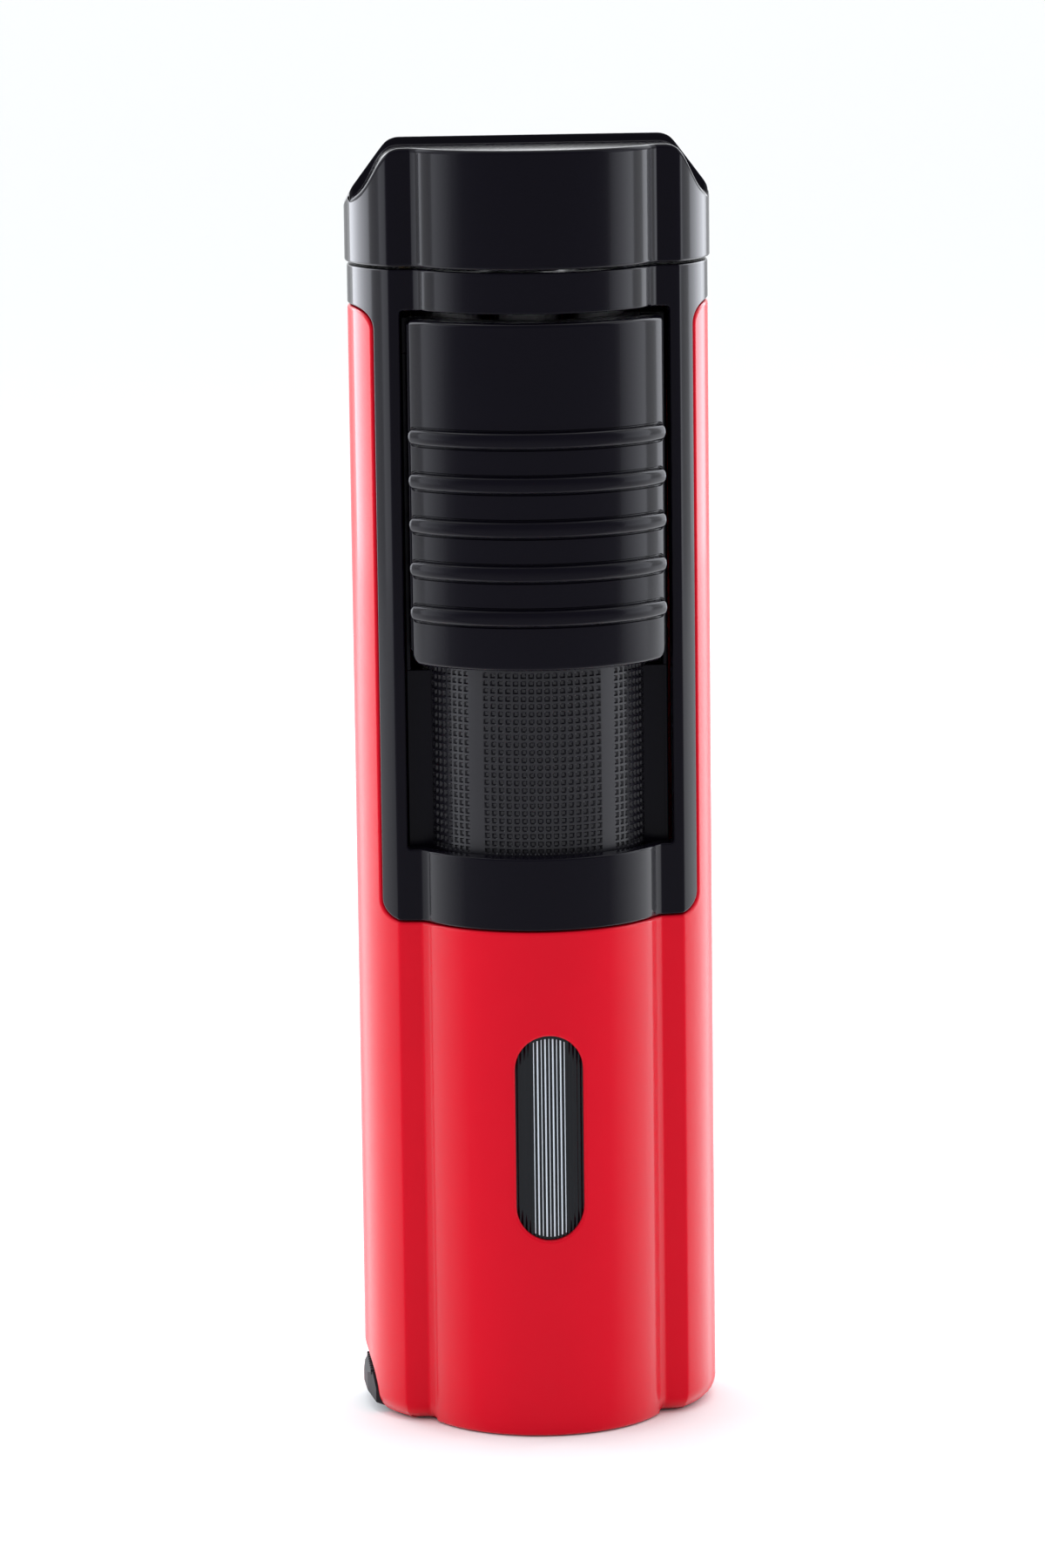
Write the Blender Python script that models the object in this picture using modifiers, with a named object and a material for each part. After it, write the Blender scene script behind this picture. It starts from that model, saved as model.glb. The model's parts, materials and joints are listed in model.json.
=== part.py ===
"""Pocket butane torch: red case, black front frame with a pull-down thumb slider, rear-hinged
flip lid, fuel tank with a sight window, and a fold-out punch under the base.

Lengths in this script are millimetres; the helpers scale them to Blender's metres.
X runs left to right, Y front to back, Z up. The origin is the centre of the base.
"""

import math

import bmesh
import bpy
from mathutils import Matrix, Vector

MM = 0.001
GAP = 0.3                     # clearance between neighbouring pieces

# Plan of the body (seen from above)
HALF_WIDTH = 12.7             # at the widest plane
WIDE_Y = 1.8                  # where the body is widest
BULGE_FRONT_Y = -9.8          # apex of the bowed front
BULGE_EDGE = (8.05, -5.1)     # where the bowed front ends
STEP_FOOT = (8.5, -4.65)      # foot of the small step beside it
STRIP_EDGE = (10.1, -4.45)    # outer edge of the flat strip
BACK_Y = 10.1
BACK_POWER = 2.3              # superellipse exponent of the rounded back
DEEP_INSET = 3.2

# Heights
SHELL_TOP = 79.4
SHELL_WALL = 1.5
BASE_FILLET = 1.5
FRAME_BOTTOM = 36.3
LIP_TOP = 41.5
COLLAR_TOP = 82.15
LID_BOTTOM = COLLAR_TOP + GAP
LID_FRONT_TOP = 90.62
LID_TOP = 91.3
LID_OVERHANG = 0.15
LID_RISER_Y = -0.5
FRAME_HALF_WIDTH = 11.3
FRAME_SIDE_Y = -2.96
FRAME_WALL = 1.3
CORNER_X = 9.9
CHANNEL_HALF_WIDTH = 9.4

# Thumb slider
SLIDER_BOTTOM = 54.7
SLIDER_TOP = 78.8
SLIDER_RADIUS = 10.5
SLIDER_CENTRE_Y = 0.6
SLIDER_THICKNESS = 1.3
SLIDER_HALF_WIDTH = 8.95
RIB_BOTTOM = 58.4
RIB_PITCH = 3.08
RIB_COUNT = 5
RIB_RADIUS = 0.5
RIB_REACH = 9.15
LEG_X = (7.8, 8.75)
LEG_BOTTOM = 66.5
LEG_TOP = 76.0
SLIDER_TRAVEL = 12.0

# Panel behind the slider
PANEL_RADIUS = 8.0
PANEL_CENTRE_Y = -0.1
PANEL_HALF_ANGLE = 68
PANEL_THICKNESS = 1.2
WING_TIP_X = 9.2

# Sight window
WINDOW_HALF_WIDTH = 2.45
WINDOW_BOTTOM = 14.2
WINDOW_TOP = 28.9
LENS_MARGIN = 1.4

# Fuel tank
BASE_TOP = 8.4
TANK_BOTTOM = 8.8
TANK_TOP = 32.0
TANK_INSET = 2.9
TANK_WALL = 0.8
COVER_BOTTOM = 33.3
COVER_TOP = 35.3

# Lid hinge
HINGE_Y = 9.1
HINGE_Z = 83.75
KNUCKLE_RADIUS = 1.15
HINGE_PIN_RADIUS = 0.45
EAR_X = (3.2, 6.2)
LEAF_X = (-3.0, 1.6)

# Burner
NOZZLE_X = (-5.6, 0.0, 5.6)
BURNER_Y = 3.2
BURNER_TOP = 83.0

# Gas valve and its lever
VALVE_X = 4.2
VALVE_Y = 3.6
LEVER_PIVOT_Y = 1.2
LEVER_PIVOT_Z = 44.75

# Piezo igniter
PIEZO_X = (-9.2, -3.6)
PIEZO_Y = (0.7, 5.9)
PIEZO_Z = (35.6, 53.4)

# Fold-out punch
PUNCH_Y = WIDE_Y
PUNCH_HALF_WIDTH = 3.45
PUNCH_PIVOT_X = 8.0
PUNCH_PIVOT_Z = 1.95
PUNCH_ROOM_X = PUNCH_PIVOT_X + 2.4    # how far right the folded-out arm may lean
CUTTER_X = -2.2
CUTTER_RADIUS = 4.0
ARCH_RADIUS = 4.15

ADJUSTER = (3.8, -4.4)
REFILL = (-3.8, -4.7)


# ---------------------------------------------------------------- scene and helpers

for stale in list(bpy.data.objects):
    bpy.data.objects.remove(stale, do_unlink=True)

parts = bpy.data.collections.new("butane_torch")
tools = bpy.data.collections.new("cutters")
bpy.context.scene.collection.children.link(parts)
bpy.context.scene.collection.children.link(tools)


def material(name, colour, roughness, metallic=0.0, alpha=1.0):
    """Principled material of one colour."""
    made = bpy.data.materials.new(name)
    made.use_nodes = True
    shader = made.node_tree.nodes["Principled BSDF"]
    shader.inputs["Base Color"].default_value = (*colour, 1.0)
    shader.inputs["Roughness"].default_value = roughness
    shader.inputs["Metallic"].default_value = metallic
    shader.inputs["Alpha"].default_value = alpha
    made.diffuse_color = (*colour, alpha)
    return made


RED = material("red_plastic", (0.66, 0.02, 0.03), 0.25)
BLACK = material("black_plastic", (0.022, 0.022, 0.03), 0.3)
SMOKE = material("smoke_plastic", (0.05, 0.05, 0.06), 0.15, alpha=0.6)
RUBBER = material("rubber", (0.03, 0.03, 0.03), 0.8)
BRASS = material("brass", (0.72, 0.5, 0.2), 0.3, 1.0)
STEEL = material("steel", (0.62, 0.62, 0.64), 0.3, 1.0)
ZINC = material("zinc", (0.5, 0.5, 0.52), 0.45, 1.0)
WHITE = material("white_plastic", (0.75, 0.75, 0.72), 0.45)


def finish(obj, surface):
    """Link a piece to the torch's collection with its own copy of a material."""
    own = surface.copy()
    own.name = obj.name + "_surface"
    obj.data.materials.clear()
    obj.data.materials.append(own)
    for collection in obj.users_collection:
        collection.objects.unlink(obj)
    parts.objects.link(obj)
    return obj


def as_tool(obj):
    """Keep a cutter or a joined shape out of the build."""
    obj.hide_render = True
    obj.display_type = "WIRE"
    for collection in obj.users_collection:
        collection.objects.unlink(obj)
    tools.objects.link(obj)


def combine(target, operation, *others):
    """Boolean each other object into the target."""
    for other in others:
        step = target.modifiers.new(operation.lower() + "_" + other.name, "BOOLEAN")
        step.operation = operation
        step.solver = "EXACT"
        step.object = other
        as_tool(other)
    return target


def cut(target, *cutters):
    return combine(target, "DIFFERENCE", *cutters)


def join(target, *others):
    return combine(target, "UNION", *others)


def keep_inside(target, *limits):
    return combine(target, "INTERSECT", *limits)


def arc(centre_u, centre_v, radius, start, end, steps):
    """Points along a circular arc, angles in degrees."""
    points = []
    for step in range(steps + 1):
        angle = math.radians(start + (end - start) * step / steps)
        points.append((centre_u + radius * math.cos(angle), centre_v + radius * math.sin(angle)))
    return points


def welded_mesh(name, holder):
    """Mesh of an evaluated curve object, caps welded, as a new object in world space."""
    bpy.context.view_layer.update()
    evaluated = holder.evaluated_get(bpy.context.evaluated_depsgraph_get())
    mesh = bpy.data.meshes.new_from_object(evaluated)
    work = bmesh.new()
    work.from_mesh(mesh)
    bmesh.ops.remove_doubles(work, verts=work.verts, dist=0.000001)
    bmesh.ops.recalc_face_normals(work, faces=work.faces)
    work.to_mesh(mesh)
    work.free()
    made = bpy.data.objects.new(name, mesh)
    made.matrix_world = holder.matrix_world.copy()
    bpy.data.objects.remove(holder, do_unlink=True)
    bpy.context.scene.collection.objects.link(made)
    return made


def flat(name, points, low, high, axis="Z"):
    """Solid of a flat outline, extruded from low to high along an axis.

    The outline is (x, y) for axis Z, (x, z) for axis Y and (y, z) for axis X.
    """
    curve = bpy.data.curves.new(name, "CURVE")
    curve.dimensions = "2D"
    curve.fill_mode = "BOTH"
    curve.extrude = (high - low) / 2 * MM
    spline = curve.splines.new("POLY")
    spline.points.add(len(points) - 1)
    for point, (across, along) in zip(spline.points, points):
        point.co = (across * MM, along * MM, 0, 1)
    spline.use_cyclic_u = True
    holder = bpy.data.objects.new(name + "_outline", curve)
    middle = (low + high) / 2 * MM
    if axis == "Z":
        holder.matrix_world = Matrix.Translation((0, 0, middle))
    elif axis == "Y":
        holder.matrix_world = Matrix.Translation((0, middle, 0)) @ Matrix.Rotation(math.pi / 2, 4, "X")
    else:
        turn = Matrix(((0, 0, 1, 0), (1, 0, 0, 0), (0, 1, 0, 0), (0, 0, 0, 1)))
        holder.matrix_world = Matrix.Translation((middle, 0, 0)) @ turn
    bpy.context.scene.collection.objects.link(holder)
    return welded_mesh(name, holder)


def box(name, x_range, y_range, z_range):
    """Rectangular block between three pairs of limits."""
    work = bmesh.new()
    bmesh.ops.create_cube(work, size=1)
    size = [(high - low) * MM for low, high in (x_range, y_range, z_range)]
    centre = [(high + low) / 2 * MM for low, high in (x_range, y_range, z_range)]
    bmesh.ops.scale(work, vec=size, verts=work.verts)
    bmesh.ops.translate(work, vec=centre, verts=work.verts)
    mesh = bpy.data.meshes.new(name)
    work.to_mesh(mesh)
    work.free()
    made = bpy.data.objects.new(name, mesh)
    bpy.context.scene.collection.objects.link(made)
    return made


def rod(name, radius, low, high, centre, axis="Z", segments=20):
    """Cylinder from low to high along an axis through centre (x, y, z)."""
    work = bmesh.new()
    bmesh.ops.create_cone(work, cap_ends=True, segments=segments, radius1=radius * MM,
                          radius2=radius * MM, depth=(high - low) * MM)
    if axis == "X":
        bmesh.ops.rotate(work, matrix=Matrix.Rotation(math.pi / 2, 3, "Y"), verts=work.verts)
    elif axis == "Y":
        bmesh.ops.rotate(work, matrix=Matrix.Rotation(math.pi / 2, 3, "X"), verts=work.verts)
    place = Vector(centre)
    place["XYZ".index(axis)] = (low + high) / 2
    bmesh.ops.translate(work, vec=place * MM, verts=work.verts)
    mesh = bpy.data.meshes.new(name)
    work.to_mesh(mesh)
    work.free()
    made = bpy.data.objects.new(name, mesh)
    bpy.context.scene.collection.objects.link(made)
    return made


def turned(name, profile, centre, steps=20, ring=False):
    """Lathe-turned piece; the profile of (radius, z) runs down its outer side."""
    mesh = bpy.data.meshes.new(name)
    verts = [(radius * MM, 0, height * MM) for radius, height in profile]
    edges = [(index, index + 1) for index in range(len(verts) - 1)]
    if ring:
        edges.append((len(verts) - 1, 0))
    mesh.from_pydata(verts, edges, [])
    made = bpy.data.objects.new(name, mesh)
    made.location = (centre[0] * MM, centre[1] * MM, 0)
    screw = made.modifiers.new("turn", "SCREW")
    screw.steps = steps
    screw.render_steps = steps
    screw.use_merge_vertices = True
    screw.merge_threshold = 0.00001
    bpy.context.scene.collection.objects.link(made)
    return made


def wire(name, points, radius, resolution=2):
    """Round wire or tube along a chain of points, with filled ends."""
    curve = bpy.data.curves.new(name, "CURVE")
    curve.dimensions = "3D"
    curve.bevel_depth = radius * MM
    curve.bevel_resolution = resolution
    curve.use_fill_caps = True
    spline = curve.splines.new("POLY")
    spline.points.add(len(points) - 1)
    for point, place in zip(spline.points, points):
        point.co = (*(Vector(place) * MM), 1)
    made = bpy.data.objects.new(name, curve)
    bpy.context.scene.collection.objects.link(made)
    return made


def smooth_route(stations, steps=6):
    """Catmull-Rom curve through a few stations."""
    knots = [Vector(station) for station in stations]
    knots = [knots[0] * 2 - knots[1]] + knots + [knots[-1] * 2 - knots[-2]]
    points = []
    for before, start, end, after in zip(knots, knots[1:], knots[2:], knots[3:]):
        for step in range(steps):
            share = step / steps
            points.append(0.5 * (2 * start + (end - before) * share
                                 + (2 * before - 5 * start + 4 * end - after) * share ** 2
                                 + (3 * start - before - 3 * end + after) * share ** 3))
    return points + [knots[-2]]


def helix(centre, radius, low, high, turns, axis="Z", per_turn=12):
    """Points of a coil spring along Z or X."""
    points = []
    for step in range(turns * per_turn + 1):
        angle = 2 * math.pi * step / per_turn
        along = low + (high - low) * step / (turns * per_turn)
        if axis == "Z":
            points.append((centre[0] + radius * math.cos(angle), centre[1] + radius * math.sin(angle), along))
        else:
            points.append((along, centre[0] + radius * math.cos(angle), centre[1] + radius * math.sin(angle)))
    return points


# ---------------------------------------------------------------- plan of the body

def half_plan():
    """Right half of the body's outline, from the front centre to the back centre."""
    edge_x, edge_y = BULGE_EDGE
    sagitta = edge_y - BULGE_FRONT_Y
    radius = (edge_x ** 2 + sagitta ** 2) / (2 * sagitta)
    sweep = math.degrees(math.asin(edge_x / radius))
    points = arc(0, BULGE_FRONT_Y + radius, radius, -90, sweep - 90, 7)
    points.append(STEP_FOOT)
    across = HALF_WIDTH - STRIP_EDGE[0]
    deep = WIDE_Y - STRIP_EDGE[1]
    radius = (across ** 2 + deep ** 2) / (2 * across)
    sweep = math.degrees(math.asin(deep / radius))
    points += arc(HALF_WIDTH - radius, WIDE_Y, radius, -sweep, 0, 4)
    for step in range(1, 10):
        angle = math.radians(10 * step)
        points.append((HALF_WIDTH * max(math.cos(angle), 0) ** (2 / BACK_POWER),
                       WIDE_Y + (BACK_Y - WIDE_Y) * math.sin(angle) ** (2 / BACK_POWER)))
    points[-1] = (0.0, BACK_Y)
    return points


def plan_with_normals():
    """Whole outline, counter-clockwise, with the outward direction at each corner."""
    right = half_plan()
    loop = right + [(-x, y) for x, y in right[-2:0:-1]]
    pairs = []
    for index, (x, y) in enumerate(loop):
        before = Vector(loop[index - 1])
        here = Vector((x, y))
        after = Vector(loop[(index + 1) % len(loop)])
        first = (here - before).normalized()
        second = (after - here).normalized()
        outward = Vector((first.y + second.y, -first.x - second.x)).normalized()
        stretch = outward.dot(Vector((first.y, -first.x)))
        pairs.append((here, outward / stretch))
    return pairs


def plan(grow=0.0):
    """Outline moved outward by grow; a deep inset drops the strip's corner, which would fold over."""
    pairs = plan_with_normals()
    if grow < -DEEP_INSET:
        strip_edges = [Vector((side * STRIP_EDGE[0], STRIP_EDGE[1])) for side in (1, -1)]
        pairs = [pair for pair in pairs if min((pair[0] - edge).length for edge in strip_edges) > 0.01]
    return [tuple(point + outward * grow) for point, outward in pairs]


def rounded_body(name, top):
    """Solid of the plan with its lower edge rounded, softly under the bowed front."""
    work = bmesh.new()
    rings = []
    for angle in (0, 30, 60, 90):
        inset = BASE_FILLET * (1 - math.sin(math.radians(angle)))
        height = BASE_FILLET * (1 - math.cos(math.radians(angle)))
        ring = []
        for point, outward in plan_with_normals():
            share = 0.25 if point.y < STEP_FOOT[1] else 1.0
            place = point - outward * inset * share
            ring.append(work.verts.new((place.x * MM, place.y * MM, height * MM)))
        rings.append(ring)
    rings.append([work.verts.new((vert.co.x, vert.co.y, top * MM)) for vert in rings[-1]])
    for lower, upper in zip(rings, rings[1:]):
        for index in range(len(lower)):
            follow = (index + 1) % len(lower)
            work.faces.new((lower[index], lower[follow], upper[follow], upper[index]))
    work.faces.new(rings[-1])
    work.faces.new(list(reversed(rings[0])))
    mesh = bpy.data.meshes.new(name)
    work.to_mesh(mesh)
    work.free()
    made = bpy.data.objects.new(name, mesh)
    bpy.context.scene.collection.objects.link(made)
    return made


def stadium(half_width, bottom, top, steps=8):
    """Upright slot with round ends."""
    return (arc(0, top - half_width, half_width, 0, 180, steps)
            + arc(0, bottom + half_width, half_width, 180, 360, steps))


def mirrored(points):
    """A right-hand chain of (x, z) points closed by its mirror image."""
    return points + [(-x, z) for x, z in reversed(points)]


# ---------------------------------------------------------------- case

def frame_side(clearance):
    """Right side of the front frame's outline: rounded foot, straight rail, flared shoulder."""
    edge = FRAME_HALF_WIDTH - clearance
    foot = FRAME_BOTTOM + clearance
    corner = FRAME_HALF_WIDTH - CORNER_X - clearance
    shoulder = 1.5
    top = SHELL_TOP + clearance
    return (arc(CORNER_X, foot + corner, corner, -90, 0, 4)
            + arc(edge + shoulder, top - shoulder, shoulder, 180, 90, 4))


def make_outer_shell():
    shell = rounded_body("outer_shell", SHELL_TOP)
    front = mirrored(frame_side(0) + [(15, SHELL_TOP), (15, SHELL_TOP + 2)])
    window = stadium(WINDOW_HALF_WIDTH, WINDOW_BOTTOM, WINDOW_TOP)
    cut(shell,
        flat("shell_bore", plan(-SHELL_WALL), -2, SHELL_TOP + 2),
        flat("shell_front_opening", front, -15, FRAME_SIDE_Y, "Y"),
        flat("shell_window", window, -15, -4, "Y"),
        rod("shell_arch", ARCH_RADIUS, -15, -9.5, (0, PUNCH_Y, 0.2), "X", 28))
    finish(shell, RED)


def make_front_frame():
    frame = flat("front_frame", plan(0), FRAME_BOTTOM + GAP, COLLAR_TOP)
    side = ([(15, 35), (CORNER_X, 35)] + frame_side(GAP) + [(15, SHELL_TOP + GAP)])
    cut(frame,
        flat("frame_bore", plan(-FRAME_WALL), 30, COLLAR_TOP + 2),
        box("frame_rear", (-15, 15), (FRAME_SIDE_Y - GAP, 15), (30, SHELL_TOP + GAP)),
        flat("frame_right", side, -15, 15, "Y"),
        flat("frame_left", [(-x, z) for x, z in reversed(side)], -15, 15, "Y"),
        box("frame_channel", (-CHANNEL_HALF_WIDTH, CHANNEL_HALF_WIDTH), (-15, 0), (LIP_TOP, SHELL_TOP)))
    for sign, label in ((1, "right"), (-1, "left")):
        low, high = sorted((sign * EAR_X[0], sign * EAR_X[1]))
        join(frame,
             rod("frame_ear_" + label, KNUCKLE_RADIUS, low, high, (0, HINGE_Y, HINGE_Z), "X", 20),
             box("frame_ear_foot_" + label, (low + 0.01, high - 0.01), (8.15, 9.35), (81.6, HINGE_Z)))
    cut(frame, rod("frame_pin_hole", HINGE_PIN_RADIUS + 0.1, -8, 8, (0, HINGE_Y, HINGE_Z), "X", 16))
    finish(frame, BLACK)


def make_channel_panel():
    outer = arc(0, PANEL_CENTRE_Y, PANEL_RADIUS, -90 - PANEL_HALF_ANGLE, -90 + PANEL_HALF_ANGLE, 20)
    inner = arc(0, PANEL_CENTRE_Y, PANEL_RADIUS - PANEL_THICKNESS,
                -90 + PANEL_HALF_ANGLE, -90 - PANEL_HALF_ANGLE, 20)
    right_wing = [(WING_TIP_X, -2.9), (WING_TIP_X, -2.1), (7.0, -2.1)]
    left_wing = [(-x, y) for x, y in reversed(right_wing)]
    panel = flat("channel_panel", outer + right_wing + inner + left_wing, FRAME_BOTTOM + 0.6, SHELL_TOP - 0.6)
    for sign, label in ((1, "right"), (-1, "left")):
        low, high = sorted((sign * (LEG_X[0] - GAP), sign * (LEG_X[1] + GAP)))
        cut(panel, box("panel_slot_" + label, (low, high), (-5, -1),
                       (LEG_BOTTOM - SLIDER_TRAVEL - GAP, LEG_TOP + GAP)))
    finish(panel, BLACK)


def make_window_lens():
    lens = flat("window_lens", stadium(WINDOW_HALF_WIDTH + LENS_MARGIN, WINDOW_BOTTOM - LENS_MARGIN,
                                       WINDOW_TOP + LENS_MARGIN), -12, -4, "Y")
    keep_inside(lens, flat("lens_front", plan(-SHELL_WALL - GAP), 5, 40))
    cut(lens, flat("lens_back", plan(-TANK_INSET + GAP), 4, 41))
    finish(lens, SMOKE)


def make_tank():
    tank = flat("tank_body", plan(-TANK_INSET), TANK_BOTTOM, TANK_TOP)
    cut(tank, flat("tank_bore", plan(-TANK_INSET - TANK_WALL), TANK_BOTTOM + 1, TANK_TOP + 2))
    finish(tank, SMOKE)

    seal = flat("tank_seal", plan(-TANK_INSET), TANK_TOP + GAP, COVER_BOTTOM - GAP)
    cut(seal, flat("seal_bore", plan(-TANK_INSET - 1), TANK_TOP - 2, COVER_BOTTOM + 2))
    finish(seal, RUBBER)

    cover = flat("tank_cover", plan(-SHELL_WALL - GAP), COVER_BOTTOM, COVER_TOP)
    for label, low in (("inner", 1.0), ("outer", 6.4)):
        join(cover, box("cover_post_" + label, (low, low + 1), (0.4, 2.0), (COVER_TOP - 0.5, 45.7)))
    cut(cover,
        rod("cover_pin_hole", 0.5, 0, 9, (0, LEVER_PIVOT_Y, LEVER_PIVOT_Z), "X", 16),
        rod("cover_valve_hole", 0.8, 30, 40, (VALVE_X, VALVE_Y, 0)))
    finish(cover, BLACK)


def make_base():
    base = flat("base_plate", plan(-SHELL_WALL - GAP), 0, BASE_TOP)
    half = PUNCH_HALF_WIDTH + GAP
    side = (PUNCH_Y - half, PUNCH_Y + half)
    wide = (PUNCH_Y - CUTTER_RADIUS - 0.4, PUNCH_Y + CUTTER_RADIUS + 0.4)
    cut(base,
        box("base_arm_slot", (-15, PUNCH_ROOM_X), side, (-2, 3.0)),
        box("base_knuckle_pocket", (PUNCH_PIVOT_X - 2.2, PUNCH_ROOM_X), side, (-1, 3.9)),
        box("base_cutter_pocket", (-7.5, 2.2), wide, (-2, 7.2)),
        box("base_thumb_pocket", (-15, -8.6), side, (-1, 4.6)),
        rod("base_punch_pin_hole", 0.6, PUNCH_Y - 4.9, PUNCH_Y + 4.9, (PUNCH_PIVOT_X, 0, PUNCH_PIVOT_Z), "Y", 16),
        rod("base_adjuster_hole", 2.1, -1, 3.4, (*ADJUSTER, 0), segments=28),
        rod("base_refill_hole", 1.8, -1, 7.4, (*REFILL, 0), segments=24))
    for name, y in (("front", -6.2), ("rear", 7.3)):
        cut(base,
            rod("base_head_hole_" + name, 0.95, -1, 1.4, (0, y, 0)),
            rod("base_screw_hole_" + name, 0.6, -2, 5.4, (0, y, 0), segments=16))
        screw = turned("base_screw_" + name, [(0, 0.95), (0.0001, 0.95), (0.75, 0.95), (0.75, 0.2), (0, 0.2)],
                       (0, y))
        join(screw, rod("shank_" + name, 0.4, 0.6, 5.0, (0, y, 0), segments=12))
        cut(screw, box("drive_a_" + name, (-0.5, 0.5), (y - 0.1, y + 0.1), (0, 0.5)),
            box("drive_b_" + name, (-0.1, 0.1), (y - 0.5, y + 0.5), (-0.1, 0.5)))
        finish(screw, STEEL)
    finish(base, BLACK)


# ---------------------------------------------------------------- thumb slider

def make_slider():
    sweep = math.degrees(math.asin(SLIDER_HALF_WIDTH / SLIDER_RADIUS))
    inner_radius = SLIDER_RADIUS - SLIDER_THICKNESS
    outer = arc(0, SLIDER_CENTRE_Y, SLIDER_RADIUS, -90 - sweep, -90 + sweep, 18)
    inner = arc(0, SLIDER_CENTRE_Y, inner_radius, -90 + sweep, -90 - sweep, 18)
    slider = flat("thumb_slider", outer + inner, SLIDER_BOTTOM, SLIDER_TOP)
    for sign, label in ((1, "right"), (-1, "left")):
        low, high = sorted((sign * LEG_X[0], sign * LEG_X[1]))
        join(slider, box("slider_leg_" + label, (low, high), (-5.0, -2.1), (LEG_BOTTOM, LEG_TOP)))
    path_radius = SLIDER_RADIUS - RIB_RADIUS + 0.35
    reach = math.degrees(math.asin(RIB_REACH / path_radius)) - 2.5
    for index in range(RIB_COUNT):
        height = RIB_BOTTOM + RIB_PITCH * index
        line = [(x, y, height) for x, y in
                arc(0, SLIDER_CENTRE_Y, path_radius, -90 - reach, -90 + reach, 16)]
        join(slider, welded_mesh("slider_rib_%d" % (index + 1), wire("rib_line", line, RIB_RADIUS, 1)))
    finish(slider, BLACK)


def make_carrier():
    carrier = box("slider_carrier", (-9, 9), (-1.8, -0.3), (58, 76))
    join(carrier,
         box("carrier_piezo_arm", (-8.8, -4.0), (-0.6, 4.6), (67.2, 69.0)),
         box("carrier_rear_arm", (-1.0, 0.8), (-0.6, 7.4), (58, 60)),
         box("carrier_latch", (-0.99, 0.79), (6.4, 7.39), (59, 81.6)),
         box("carrier_spring_tab", (-2.3, 2.3), (-6.2, -1.2), (58.01, 59.4)))
    finish(carrier, BLACK)

    spring = wire("slider_spring", helix((0, -4.3), 1.55, 36.2, 57.3, 8), 0.22, 1)
    finish(spring, STEEL)


# ---------------------------------------------------------------- lid

def make_lid():
    lid = flat("lid_shell", plan(LID_OVERHANG), LID_BOTTOM, LID_TOP)
    side = HALF_WIDTH + LID_OVERHANG
    rear = [(15, 86.9), (side, 86.9), (10.75, 90.55), (10.3, 91.05), (9.7, LID_TOP), (9.7, 93), (15, 93)]
    front = ([(15, 86.2), (side, 86.2), (12.45, 86.7), (11.85, 87.4), (11.3, 88.4), (10.85, 89.4),
              (10.4, 90.15), (9.9, 90.5), (9.3, LID_FRONT_TOP), (0, LID_FRONT_TOP), (0, 93), (15, 93)])
    fall = ([(LID_RISER_Y, LID_TOP), (5.2, 90.85)] + arc(5.2, 85.65, 5.2, 80, 0, 6)
            + [(10.6, 85.6), (10.6, 93), (LID_RISER_Y, 93)])
    for sign, label in ((1, "right"), (-1, "left")):
        cut(lid,
            flat("lid_rear_shoulder_" + label, [(sign * x, z) for x, z in rear], LID_RISER_Y, 14, "Y"),
            flat("lid_front_shoulder_" + label, [(sign * (x - 0.05), z) for x, z in front], -14,
                 LID_RISER_Y, "Y"))
    cut(lid,
        flat("lid_fall", fall, -15, 15, "X"),
        flat("lid_bore", plan(LID_OVERHANG - 1.2), 80, 86.0),
        flat("lid_upper_bore", plan(-3.6), 79, 89.2),
        box("lid_hinge_notch", (-EAR_X[1] - GAP, EAR_X[1] + GAP), (7.75, 14), (78, 85.3)))
    finish(lid, BLACK)

    plate = flat("lid_heat_plate", plan(-4.3), 88.4, 88.9)
    finish(plate, STEEL)

    leaf = rod("lid_hinge_leaf", KNUCKLE_RADIUS, LEAF_X[0], LEAF_X[1], (0, HINGE_Y, HINGE_Z), "X", 20)
    inner = (LEAF_X[0] + 0.01, LEAF_X[1] - 0.01)
    join(leaf,
         box("leaf_neck", inner, (8.2, 9.9), (HINGE_Z, 85.0)),
         box("leaf_arm", (-2.2, 0.6), (7.9, 8.6), (80.7, 84.9)))
    cut(leaf, rod("leaf_pin_hole", HINGE_PIN_RADIUS + 0.1, -8, 8, (0, HINGE_Y, HINGE_Z), "X", 16))
    finish(leaf, BLACK)

    finish(rod("lid_hinge_pin", HINGE_PIN_RADIUS, -EAR_X[1] + 0.1, EAR_X[1] - 0.1,
               (0, HINGE_Y, HINGE_Z), "X", 16), STEEL)
    spring = wire("lid_spring", helix((HINGE_Y, HINGE_Z), 0.8, 1.95, 2.85, 4, "X"), 0.1, 1)
    finish(spring, STEEL)


# ---------------------------------------------------------------- burner, gas and ignition

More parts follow.
